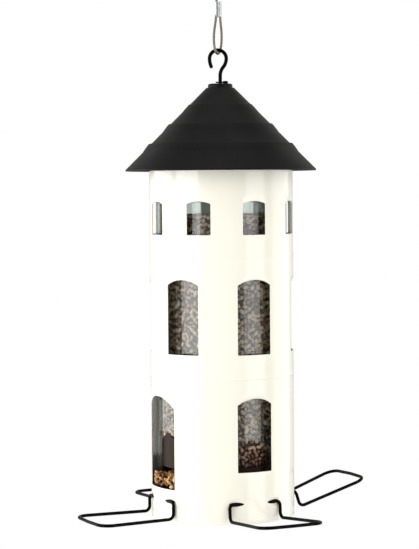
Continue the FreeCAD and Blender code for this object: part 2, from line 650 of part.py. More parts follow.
def write(name, shape):
    """Write one sub-part, after a check that each of its solids is sound."""
    solids = shape.Solids
    assert solids and shape.isValid() and all(s.Volume > 0 for s in solids), name
    shape = solids[0] if len(solids) == 1 else Part.Compound(solids)
    shape.exportStep("parts/" + name + ".step")
    print(name, len(solids), "solid(s)", round(shape.Volume, 1), "mm3")


def main():
    os.makedirs("parts", exist_ok=True)
    pieces = {
        "tower_shell": tower_shell(),
        "floor_pan": floor_pan(),
        "base_screws": base_screws(),
        "feed_tray": feed_tray(),
        "tube_foot_ring": tube_foot_ring(),
        "seed_tube": seed_tube(),
        "seed_ramp": seed_ramp(),
        "seed_fill": seed_fill(),
        "tray_seed": tray_seed(),
        "tube_collar": tube_collar(),
        "hanger_bar": hanger_bar(),
        "bar_rivets": bar_rivets(),
        "hanger_hook": hanger_hook(),
        "cap_pin": cap_pin(),
        "stem_nut": stem_nut(),
        "stem_spacer": stem_spacer(),
        "roof_cap": roof_cap(),
        "roof_cone": roof_cone(),
        "roof_collar": roof_collar(),
        "roof_seat_ring": roof_seat_ring(),
        "cable": cable(),
        "cable_ferrule_lower": ferrule(LOWER_FERRULE_FOOT),
        "cable_ferrule_upper": ferrule(UPPER_FERRULE_FOOT),
    }
    for name, (angle, raised) in PERCHES.items():
        pieces["perch_" + name] = perch(angle, raised)
    for name, shape in pieces.items():
        write(name, shape)


main()
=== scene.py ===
"""Looks of a hanging tube bird feeder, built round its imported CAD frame.

A windowed steel tower stands round a clear seed tube. A conical roof slides up a steel hanger for
filling, a hook on top hangs from a looped steel rope, and four wire perches fold at the doors.

Sizes in the classes are millimetres, in the CAD's own frame: +Z up, the origin at the centre of the
flat base, the front door towards -Y. Meshes are made in metres.
"""

import logging
import math
from collections.abc import Callable, Sequence
from dataclasses import dataclass, field
from enum import Enum
from typing import Any

import bmesh
import bpy
import numpy as np
from mathutils import Matrix, Vector

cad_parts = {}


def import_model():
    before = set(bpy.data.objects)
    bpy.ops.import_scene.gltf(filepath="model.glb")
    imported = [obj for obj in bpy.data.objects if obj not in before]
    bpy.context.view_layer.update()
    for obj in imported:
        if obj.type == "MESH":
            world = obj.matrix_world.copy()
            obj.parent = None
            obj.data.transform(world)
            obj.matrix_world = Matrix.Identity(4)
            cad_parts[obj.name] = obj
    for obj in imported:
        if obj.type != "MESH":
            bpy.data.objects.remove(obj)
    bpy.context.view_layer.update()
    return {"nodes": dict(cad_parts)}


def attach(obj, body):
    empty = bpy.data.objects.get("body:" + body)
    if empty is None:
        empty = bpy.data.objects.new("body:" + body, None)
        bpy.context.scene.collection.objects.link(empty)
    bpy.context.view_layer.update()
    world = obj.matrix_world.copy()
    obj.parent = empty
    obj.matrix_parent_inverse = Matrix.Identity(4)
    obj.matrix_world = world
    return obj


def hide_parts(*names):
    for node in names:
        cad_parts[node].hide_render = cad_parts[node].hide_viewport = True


log = logging.getLogger("feeder")

MM = 0.001
HOOK_TURN = -30.0      # degrees from the X axis to the plane that the hook lies in
CROWN_HEIGHT = 349.5   # centre of the hook's crown
SHADE_FOOT = 0.042     # metres: below this height the seed in the tube is fully darkened, as painted shade
SHADE_TOP = 0.074      # metres: above it, not at all
LEAST_COLUMN = 0.06    # degrees between columns of a pierced wall

Tree = bpy.types.NodeTree
Node = bpy.types.Node
Material = bpy.types.Material
Object = bpy.types.Object
Mesh = bpy.types.Mesh
Point = tuple[float, float, float]
Faces = list[tuple[int, ...]]
Line = Callable[[float], float]      # a height for each angle
Opened = Callable[[float], bool]     # whether an opening spans an angle


class Side(Enum):
    """The four sides of the tower, as degrees about +Z from +X."""

    FRONT = 270.0
    LEFT = 180.0
    RIGHT = 0.0
    REAR = 90.0


# ---------------------------------------------------------------- materials


def linear(colour: str) -> tuple[float, float, float, float]:
    """Turns an sRGB hex colour into linear values.

    Args:
        colour: Six hex digits after a hash.

    Returns:
        Red, green, blue and alpha, linear.
    """
    parts = [int(colour[i : i + 2], 16) / 255 for i in (1, 3, 5)]
    red, green, blue = (c / 12.92 if c <= 0.04045 else ((c + 0.055) / 1.055) ** 2.4 for c in parts)
    return red, green, blue, 1.0


def add_node(
    tree: Tree, kind: str, settings: dict[str, Any] | None = None, inputs: dict[Any, Any] | None = None
) -> Node:
    """Adds one node, with its settings and its links.

    Args:
        tree: The node tree.
        kind: The node's type name.
        settings: Attributes of the node.
        inputs: A value, or an output socket to link, for each input's name or number.

    Returns:
        The new node.
    """
    node = tree.nodes.new(kind)
    for name, value in (settings or {}).items():
        setattr(node, name, value)
    feed(tree, node, inputs or {})
    return node


def feed(tree: Tree, node: Node, inputs: dict[Any, Any]) -> None:
    """Sets or links inputs of a node.

    Args:
        tree: The node tree.
        node: The node.
        inputs: A value, or an output socket to link, for each input's name or number.
    """
    for key, value in inputs.items():
        socket = node.inputs[key]
        if isinstance(value, bpy.types.NodeSocket):
            tree.links.new(value, socket)
        else:
            socket.default_value = value


def maths(tree: Tree, operation: str, *values: Any) -> Any:
    """Adds a math node on values or sockets, and returns its socket."""
    return add_node(tree, "ShaderNodeMath", {"operation": operation}, dict(enumerate(values))).outputs[0]


def blend(tree: Tree, share: Any, first: Any, second: Any, how: str = "MIX") -> Any:
    """Adds a mix of two colours.

    Args:
        tree: The node tree.
        share: How much of the second colour there is.
        first: The first colour, or its socket.
        second: The second colour, or its socket.
        how: The blend type.

    Returns:
        The mix's colour socket.
    """
    settings = {"data_type": "RGBA", "blend_type": how}
    return add_node(tree, "ShaderNodeMix", settings, {0: share, 6: first, 7: second}).outputs[2]


def shown_white(tree: Tree, lit: Any, kind: str, output: str) -> None:
    """Shows plain white to the camera and leaves the light that falls elsewhere as it is.

    Args:
        tree: The node tree.
        lit: Socket of what lights the scene.
        kind: Type name of the white node.
        output: Name of the tree's output node.
    """
    white = add_node(tree, kind, inputs={"Color": linear("#FFFFFF"), "Strength": 1.0})
    seen = add_node(tree, "ShaderNodeLightPath").outputs["Is Camera Ray"]
    mix = add_node(tree, "ShaderNodeMixShader", inputs={0: seen, 1: lit, 2: white.outputs[0]})
    tree.links.new(mix.outputs[0], tree.nodes[output].inputs["Surface"])


def add_ramp(tree: Tree, factor: bpy.types.NodeSocket, stops: Sequence[tuple[float, str]]) -> Any:
    """Adds a colour ramp.

    Args:
        tree: The node tree.
        factor: What drives it.
        stops: Place and hex colour of each stop.

    Returns:
        The ramp's colour socket.
    """
    node = add_node(tree, "ShaderNodeValToRGB", inputs={"Fac": factor})
    elements = node.color_ramp.elements
    while len(elements) < len(stops):
        elements.new(1.0)
    for element, (place, colour) in zip(elements, stops):
        element.position = place
        element.color = linear(colour)
    return node.outputs["Color"]


@dataclass(frozen=True)
class Finish:
    """What every finish shares: a name, a base colour and how a surface is roughened."""

    name: str
    colour: str

    def start(self) -> tuple[Material, Tree, Node, Any]:
        """Starts a node material.

        Returns:
            The material, its tree, its shader and the Object coordinate socket.
        """
        material = bpy.data.materials.new(self.name)
        material.use_nodes = True
        tree = material.node_tree
        shader = tree.nodes["Principled BSDF"]
        shader.inputs["Base Color"].default_value = linear(self.colour)
        place = add_node(tree, "ShaderNodeTexCoord").outputs["Object"]
        return material, tree, shader, place

    def grain(
        self, tree: Tree, place: Any, size: float, detail: float = 3.0, stretch: Point = (1, 1, 1)
    ) -> Any:
        """Adds a noise whose grains have a real size.

        Args:
            tree: The node tree.
            place: The coordinate socket.
            size: Size of a grain, in millimetres.
            detail: How many finer layers it has.
            stretch: How far it is squeezed along each axis.

        Returns:
            The noise's value socket.
        """
        scaled = add_node(tree, "ShaderNodeMapping", inputs={"Vector": place, "Scale": stretch})
        noise = add_node(
            tree, "ShaderNodeTexNoise", inputs={"Vector": scaled.outputs[0], "Scale": 1000.0 / size, "Detail": detail}
        )
        return noise.outputs["Fac"]

    def spread(self, tree: Tree, value: Any, low: float, high: float) -> Any:
        """Maps a value between 0.3 and 0.7 to a range, and returns its socket."""
        node = add_node(
            tree,
            "ShaderNodeMapRange",
            inputs={"Value": value, "From Min": 0.3, "From Max": 0.7, "To Min": low, "To Max": high},
        )
        return node.outputs["Result"]

    def bump(self, tree: Tree, shader: Node, height: Any, depth: float, coat: bool = False) -> None:
        """Roughens a shader's normal.

        Args:
            tree: The node tree.
            shader: The shader.
            height: Socket of a height from 0 to 1.
            depth: What that height stands for, in millimetres.
            coat: Whether the clear coat is roughened too.
        """
        node = add_node(tree, "ShaderNodeBump", inputs={"Height": height, "Distance": depth * MM, "Strength": 1.0})
        for name in ("Normal", "Coat Normal") if coat else ("Normal",):
            tree.links.new(node.outputs[0], shader.inputs[name])


@dataclass(frozen=True)
class StoveEnamel(Finish):
    """Baked enamel on sheet steel: a warm white gloss with a faint orange peel."""

    name: str = "stove enamel on steel"
    colour: str = "#F5F3E6"
    roughness: float = 0.13
    peel: float = 2.6
    peel_depth: float = 0.006

    def build(self) -> Material:
        """Builds the material."""
        material, tree, shader, place = self.start()
        cloud = self.grain(tree, place, 60.0, 2.0)
        handled = self.grain(tree, place, 14.0, 4.0)
        inputs = {
            "Base Color": add_ramp(tree, cloud, [(0.3, "#F3F1E3"), (0.7, self.colour)]),
            "Roughness": self.spread(tree, handled, self.roughness, self.roughness + 0.05),
            "IOR": 1.5,
            "Coat Weight": 0.35,
            "Coat Roughness": 0.04,
        }
        feed(tree, shader, inputs)
        self.bump(tree, shader, self.grain(tree, place, self.peel, 1.0), self.peel_depth, coat=True)
        return material


@dataclass(frozen=True)
class PowderCoat(Finish):
    """Textured powder coat on spun steel: matte black with fine grains that scatter the light."""

    name: str = "textured powder coat on spun steel"
    colour: str = "#08080A"
    roughness: float = 0.45
    grit: float = 0.9          # finer in reality; drawn as coarse as it needs to show
    grit_depth: float = 0.05

    def build(self) -> Material:
        """Builds the material."""
        material, tree, shader, place = self.start()
        fine = self.grain(tree, place, self.grit, 2.0)
        cloud = self.grain(tree, place, 30.0, 3.0)
        inputs = {
            "Base Color": add_ramp(tree, fine, [(0.35, "#040405"), (0.65, "#0C0C0D")]),
            "Roughness": self.spread(tree, cloud, self.roughness - 0.05, self.roughness + 0.07),
            "Specular IOR Level": 0.12,
        }
        feed(tree, shader, inputs)
        self.bump(tree, shader, fine, self.grit_depth)
        return material


@dataclass(frozen=True)
class DippedWire(Finish):
    """Dip-coated steel wire: a thick glossy black skin with slight waves along the wire."""

    name: str = "dip-coated black wire"
    colour: str = "#020202"
    roughness: float = 0.16

    def build(self) -> Material:
        """Builds the material."""
        material, tree, shader, place = self.start()
        wave = self.grain(tree, place, 5.0, 2.0)
        rough = self.spread(tree, wave, self.roughness, self.roughness + 0.1)
        skin = {"Specular IOR Level": 0.03, "Coat Weight": 0.03, "Coat Roughness": 0.08}
        feed(tree, shader, {"Roughness": rough, **skin})
        self.bump(tree, shader, wave, 0.03, coat=True)
        return material


@dataclass(frozen=True)
class ClearAcrylic(Finish):
    """Extruded acrylic tube: clear and faintly grey, with light scuffs from the seed."""

    name: str = "extruded clear acrylic"
    colour: str = "#F2F5F4"
    roughness: float = 0.002
    straight: float = 0.96     # share of the light that a thin, flat-sided wall lets by unbent
    mirror: float = 0.045      # share that each side mirrors, seen square on

    def build(self) -> Material:
        """Builds the material. Shadow rays pass through it, so that the seed behind is lit."""
        material, tree, shader, place = self.start()
        scuff = self.grain(tree, place, 3.0, 6.0, (1, 1, 0.25))
        rough = self.spread(tree, scuff, 0.0, self.roughness)
        feed(tree, shader, {"Roughness": rough, "IOR": 1.49, "Transmission Weight": 1.0})
        clear = add_node(tree, "ShaderNodeBsdfTransparent", inputs={"Color": linear("#E9EDEB")})
        shadow = add_node(tree, "ShaderNodeLightPath").outputs["Is Shadow Ray"]
        share = maths(tree, "MAXIMUM", shadow, self.straight)
        mix = add_node(tree, "ShaderNodeMixShader", inputs={0: share, 1: shader.outputs[0], 2: clear.outputs[0]})
        facing = add_node(tree, "ShaderNodeLayerWeight", inputs={"Blend": 0.5}).outputs["Facing"]
        steep = maths(tree, "POWER", facing, 5.0)
        mirrored = maths(tree, "MULTIPLY_ADD", steep, 1.0 - self.mirror, self.mirror)
        gloss_share = maths(tree, "MULTIPLY", mirrored, maths(tree, "SUBTRACT", 1.0, shadow))
        gloss = add_node(tree, "ShaderNodeBsdfAnisotropic", inputs={"Color": (1, 1, 1, 1), "Roughness": 0.03})
        skin = add_node(tree, "ShaderNodeMixShader", inputs={0: gloss_share, 1: mix.outputs[0], 2: gloss.outputs[0]})
        tree.links.new(skin.outputs[0], tree.nodes["Material Output"].inputs["Surface"])
        return material


@dataclass(frozen=True)
class MouldedPolypropylene(Finish):
    """Injection-moulded polypropylene: dark brown, satin, with a fine spark-eroded grain."""

    name: str = "moulded brown polypropylene"
    colour: str = "#2C2018"
    roughness: float = 0.38

    def build(self) -> Material:
        """Builds the material."""
        material, tree, shader, place = self.start()
        cloud = self.grain(tree, place, 18.0, 4.0)
        inputs = {
            "Base Color": add_ramp(tree, cloud, [(0.3, "#271C14"), (0.7, "#33261C")]),
            "Roughness": self.spread(tree, cloud, self.roughness, self.roughness + 0.12),
            "Specular IOR Level": 0.06,
        }
        feed(tree, shader, inputs)
        self.bump(tree, shader, self.grain(tree, place, 0.7, 2.0), 0.02)
        return material


class MetalKind(Enum):
    """The bare metals of the fittings: colour, roughness, and size of the marks on them in mm."""

    ZINC_SCREW = ("zinc-plated steel", "#B9BCC0", 0.28, 1.2)
    GALVANISED = ("galvanised strip steel", "#9DA1A6", 0.4, 6.0)
    STAINLESS_ROPE = ("drawn stainless strand", "#8B8175", 0.34, 0.6)
    PRESSED_ALLOY = ("pressed aluminium sleeve", "#C9CBD0", 0.3, 1.5)


@dataclass(frozen=True)
class BareMetal(Finish):
    """A bare metal, plated, galvanised, drawn or pressed, with tarnish and handling marks."""

    roughness: float = 0.3
    mark: float = 1.5

    @classmethod
    def of(cls, kind: MetalKind) -> "BareMetal":
        """The finish for one kind of metal."""
        name, colour, roughness, mark = kind.value
        return cls(name, colour, roughness, mark)

    def build(self) -> Material:
        """Builds the material."""
        material, tree, shader, place = self.start()
        mark = self.grain(tree, place, self.mark, 4.0)
        dull = tuple(c * 0.72 for c in linear(self.colour)[:3]) + (1.0,)
        inputs = {
            "Metallic": 1.0,
            "Base Color": blend(tree, self.spread(tree, mark, 0.0, 1.0), dull, linear(self.colour)),
            "Roughness": self.spread(tree, mark, self.roughness - 0.06, self.roughness + 0.12),
        }
        feed(tree, shader, inputs)
        self.bump(tree, shader, mark, 0.015)
        return material


@dataclass(frozen=True)
class SeedHull(Finish):
    """Mixed husked seed: dry brown-grey kernels, each of its own tone, with a dull oily sheen."""

    name: str = "husked seed"
    colour: str = "#75604E"
    tones: tuple[str, ...] = ("#7A563E", "#B08668", "#D4AA8A", "#ECC9AC", "#FFE6D0")
    low_shade_tone: str = "#5E3E2C"      # painted shade: what the kernels at the foot of the tube are darkened towards

    def build(self) -> Material:
        """Builds the material. Each kernel carries its tone as an attribute."""
        material, tree, shader, place = self.start()
        tone = add_node(tree, "ShaderNodeAttribute", {"attribute_name": "tone"}).outputs["Fac"]
        base = add_ramp(tree, tone, list(zip((0.0, 0.22, 0.5, 0.78, 1.0), self.tones)))
        # Painted shade: the kernels are darkened towards the foot of the tube, where shade falls in it.
        height = add_node(tree, "ShaderNodeSeparateXYZ", inputs={0: place}).outputs["Z"]
        low = add_node(
            tree,
            "ShaderNodeMapRange",
            inputs={"Value": height, "From Min": SHADE_FOOT, "From Max": SHADE_TOP, "To Min": 1.0, "To Max": 0.0},
        ).outputs["Result"]
        shaded = blend(tree, low, base, linear(self.low_shade_tone), "MULTIPLY")
        fleck = self.grain(tree, place, 1.4, 3.0)
        specks = add_ramp(tree, fleck, [(0.35, "#A09890"), (0.6, "#FFFFFF")])
        feed(tree, shader, {"Base Color": blend(tree, 0.6, shaded, specks, "MULTIPLY"), "Roughness": 0.42})
        self.bump(tree, shader, fleck, 0.08)
        return material


@dataclass(frozen=True)
class PackedSeed(SeedHull):
    """The dark of the seed behind the outer kernels: kernels in shade, drawn as cells."""

    name: str = "packed seed in shade"

    def build(self) -> Material:
        """Builds the material."""
        material, tree, shader, place = self.start()
        cells = add_node(tree, "ShaderNodeTexVoronoi", inputs={"Vector": place, "Scale": 1000.0 / 4.0})
        # Painted shade: each cell is lightest at its middle and darkest at its edges, as the shade between kernels.
        tint = add_ramp(tree, cells.outputs["Distance"], [(0.0, "#4A3A2F"), (0.45, "#241B15"), (0.8, "#100C09")])
        feed(tree, shader, {"Base Color": tint, "Roughness": 0.6})
        self.bump(tree, shader, cells.outputs["Distance"], -1.0)
        return material


@dataclass(frozen=True)
class StudioPaper(Finish):
    """Matt white background paper, lit so evenly that it shows as plain white."""

    name: str = "matt white paper"
    colour: str = "#F7F7F6"

    def build(self) -> Material:
        """Builds the material."""
        material, tree, shader, place = self.start()
        fibre = self.grain(tree, place, 40.0, 3.0)
        tint = add_ramp(tree, fibre, [(0.3, "#F5F5F4"), (0.7, self.colour)])
        feed(tree, shader, {"Base Color": tint, "Roughness": 0.9})
        shown_white(tree, shader.outputs[0], "ShaderNodeEmission", "Material Output")
        return material


# ---------------------------------------------------------------- meshes


def add_object(name: str, data: bpy.types.ID) -> Object:
    """Makes an object at the origin and links it to the scene."""
    made = bpy.data.objects.new(name, data)
    bpy.context.scene.collection.objects.link(made)
    return made


def evaluated(helper: Object) -> Mesh:
    """The plain mesh that an object's modifiers, or its curve, come to."""
    bpy.context.view_layer.update()
    return bpy.data.meshes.new_from_object(helper.evaluated_get(bpy.context.evaluated_depsgraph_get()))


def mesh_of(name: str, points: Any, faces: Faces, recalc: bool = False) -> Mesh:
    """Makes a mesh from points in millimetres.

    Args:
        name: Name of the mesh.
        points: Its points.
        faces: Its faces.
        recalc: Whether its normals are worked out again, for a closed shape.

    Returns:
        The mesh, in metres.
    """
    mesh = bpy.data.meshes.new(name)
    mesh.from_pydata((np.asarray(points, float) * MM).tolist(), [], faces)
    if recalc:
        work = bmesh.new()
        work.from_mesh(mesh)
        bmesh.ops.recalc_face_normals(work, faces=work.faces)
        work.to_mesh(mesh)
        work.free()
    return mesh


def smooth(mesh: Mesh) -> None:
    """Shades all of a mesh's faces smooth."""
    mesh.polygons.foreach_set("use_smooth", [True] * len(mesh.polygons))


def ring_faces(rows: int, count: int, base: int = 0, closed: bool = False) -> Faces:
    """The faces between rings of points.

    Args:
        rows: How many rings there are.
        count: How many points each ring has.
        base: Number of the first point.
        closed: Whether the last ring joins the first.

    Returns:
        The faces, ring by ring.
    """
    faces: Faces = []
    for i in range(rows if closed else rows - 1):
        low, high = base + i * count, base + (i + 1) % rows * count
        for j in range(count):
            k = (j + 1) % count
            faces.append((low + j, low + k, high + k, high + j))
    return faces


def bar_faces(rows: int, count: int) -> Faces:
    """The faces of a closed bar made of rings: its side and its two ends."""
    last = (rows - 1) * count
    return ring_faces(rows, count) + [tuple(reversed(range(count))), tuple(range(last, last + count))]


def new_piece(
    name: str, points: Any, faces: Faces, material: Material, sharp: float = 35.0, recalc: bool = False
) -> Object:
    """Makes an object at the origin from a mesh in millimetres.

    Args:
        name: Name of the piece.
        points: Its points, in millimetres.
        faces: Its faces.
        material: Its material.
        sharp: Angle in degrees above which an edge is shaded sharp.
        recalc: Whether its normals are worked out again, for a closed shape.

    Returns:
        The object.
    """
    mesh = mesh_of(name, points, faces, recalc)
    smooth(mesh)
    mesh.set_sharp_from_angle(angle=math.radians(sharp))
    mesh.materials.append(material)
    return add_object(name, mesh)


def settle(piece: Object, body: str, replaces: Sequence[str]) -> Object:
    """Makes a piece ride on its body and stand for its CAD nodes.

    Args:
        piece: The finished piece.
        body: The CAD body that it rides on.
        replaces: The CAD nodes that it stands for.

    Returns:
        The piece.
    """
    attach(piece, body)
    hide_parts(*replaces)
    log.info("%s rides on %s", piece.name, body)
    return piece


def lathe(profile: Sequence[tuple[float, float]], segments: int) -> tuple[np.ndarray, Faces]:
    """Turns a closed profile about the tower's axis.

    Args:
        profile: (radius, height) points, up the outside and down the inside.
        segments: How many segments it has round the axis.

    Returns:
        Points and faces.
    """
    turns = np.arange(segments) * 2 * math.pi / segments
    ring = np.array(profile, float)
    points = np.stack(
        [
            np.outer(ring[:, 0], np.cos(turns)),
            np.outer(ring[:, 0], np.sin(turns)),
            np.repeat(ring[:, 1:2], segments, axis=1),
        ],
        axis=-1,
    ).reshape(-1, 3)
    return points, ring_faces(len(profile), segments, closed=True)


def eased(profile: Sequence[tuple[float, float]], radius: float, above: float = 25.0) -> list[tuple[float, float]]:
    """Rounds each sharp corner of a lathe profile.

    Args:
        profile: The closed profile.
        radius: Radius of the rounding.
        above: Least turn in degrees that is rounded.

    Returns:
        The rounded profile.
    """
    made: list[tuple[float, float]] = []
    count = len(profile)
    for i, here in enumerate(profile):
        corner = Vector(here)
        back = Vector(profile[i - 1]) - corner
        ahead = Vector(profile[(i + 1) % count]) - corner
        turn = math.degrees(math.pi - back.angle(ahead))
        reach = min(radius, back.length * 0.4, ahead.length * 0.4)
        if turn < above:
            made.append(here)
            continue
        start, end = corner + back.normalized() * reach, corner + ahead.normalized() * reach
        for t in (0.0, 0.33, 0.67, 1.0):
            made.append(tuple(start * (1 - t) ** 2 + corner * 2 * t * (1 - t) + end * t**2))
    return made


def rod(path: np.ndarray, radius: float, sides: int, rounded: float = 0.6) -> tuple[np.ndarray, Faces]:
    """A round rod along a path, with eased ends.

    Args:
        path: Points along its middle.
        radius: Radius of the rod.
        sides: How many sides it has.
        rounded: Length of each eased end, as a share of the radius.

    Returns:
        Points and faces.
    """
    path = np.asarray(path, float)
    tangents = np.gradient(path, axis=0)
    tangents /= np.linalg.norm(tangents, axis=1)[:, None]
    normal = np.cross(tangents[0], (0.31, 0.87, 0.38))
    ease, last = rounded * radius, len(path) - 1
    ends = [(ease * (1 - place), scale) for place, scale in ((1.0, 0.35), (0.45, 0.8), (0.0, 1.0))]
    rings = [(0, shift, scale) for shift, scale in ends]
    rings += [(i, 0.0, 1.0) for i in range(1, last)]
    rings += [(last, -shift, scale) for shift, scale in reversed(ends)]
    turns = np.arange(sides) * 2 * math.pi / sides
    points = []
    for index, shift, scale in rings:
        tangent = tangents[index]
        normal = normal - tangent * np.dot(normal, tangent)
        normal /= np.linalg.norm(normal)
        across = np.cross(tangent, normal)
        middle = path[index] + tangent * shift
        points.append(middle + radius * scale * (np.outer(np.cos(turns), normal) + np.outer(np.sin(turns), across)))
    return np.concatenate(points), bar_faces(len(points), sides)


def bent(points: Sequence[Sequence[float]], radii: Sequence[float], steps: int = 8) -> np.ndarray:
    """The middle line of a wire that a maker bends at each inner point.

    Args:
        points: The wire's ends and the corners between its straight runs.
        radii: Bend radius at each corner.
        steps: How many points each bend has.

    Returns:
        Points along the wire.
    """
    made = [Vector(points[0])]
    for before, corner, after, radius in zip(points, points[1:], points[2:], radii):
        corner = Vector(corner)
        back = (Vector(before) - corner).normalized()
        ahead = (Vector(after) - corner).normalized()
        half = (math.pi - back.angle(ahead)) / 2
        bisector = (back + ahead).normalized()
        centre = corner + bisector * (radius / math.cos(half))
        start = corner + back * radius * math.tan(half) - centre
        end = corner + ahead * radius * math.tan(half) - centre
        for i in range(steps + 1):
            made.append(centre + start.normalized().slerp(end.normalized(), i / steps) * radius)
    made.append(Vector(points[-1]))
    return np.array([tuple(p) for p in made])


def in_hook_plane(points: Any) -> np.ndarray:
    """Points given along and across the hook's plane and up, turned into the object's frame."""
    turn = math.radians(HOOK_TURN)
    rotation = np.array([[math.cos(turn), -math.sin(turn), 0], [math.sin(turn), math.cos(turn), 0], [0, 0, 1]])
    return np.asarray(points, float) @ rotation.T


# ---------------------------------------------------------------- tower


def nearest(turn: float, places: Sequence[float]) -> float:
    """The signed angle in degrees from the nearest of some bearings."""
    return min(((turn - place + 180.0) % 360.0 - 180.0 for place in places), key=abs)


@dataclass(frozen=True)
class Window:
    """An arched opening with parallel sides: half width, sill, springing and crown, and its places."""

    half: float
    sill: float
    springing: float
    crown: float
    angles: tuple[float, ...]
    corner: float = 0.6

    def off(self, turn: float) -> float:
        """The signed angle from the nearest place of this opening."""
        return nearest(turn, self.angles)

    def reach(self, radius: float) -> float:
        """Half the opening's angle in degrees, on a wall of that radius."""
        return math.degrees(math.asin(self.half / radius))

    def covers(self, turn: float, radius: float) -> bool:
        """Whether the opening spans this angle."""
        return abs(self.off(turn)) < self.reach(radius)

    def head(self, turn: float, radius: float) -> float:
        """Height of the arch at this angle, or of the springing beside it."""
        rise = self.crown - self.springing
        bow = (self.half**2 + rise**2) / (2 * rise)
        across = min(abs(radius * math.sin(math.radians(self.off(turn)))), self.half)
        if not self.covers(turn, radius):
            across = self.half
        return self.crown - bow + math.sqrt(bow**2 - across**2)

    def foot(self, turn: float, radius: float) -> float:
        """Height of the sill at this angle, with its small rounded corners."""
        across = self.half if not self.covers(turn, radius) else abs(radius * math.sin(math.radians(self.off(turn))))
        past = max(0.0, min(across - (self.half - self.corner), self.corner))
        return self.sill + self.corner - math.sqrt(self.corner**2 - past**2)

    def columns(self, radius: float) -> list[float]:
        """Angles that the wall is divided at, so that the arch and the corners are smooth."""
        shares = [math.sin(math.radians(t)) for t in range(-90, 91, 9)]
        edge = 1 - self.corner / self.half
        shares += [edge, -edge, (1 + edge) / 2, -(1 + edge) / 2]
        offs = [math.degrees(math.asin(self.half * s / radius)) for s in shares]
        return [a + o for a in self.angles for o in offs]


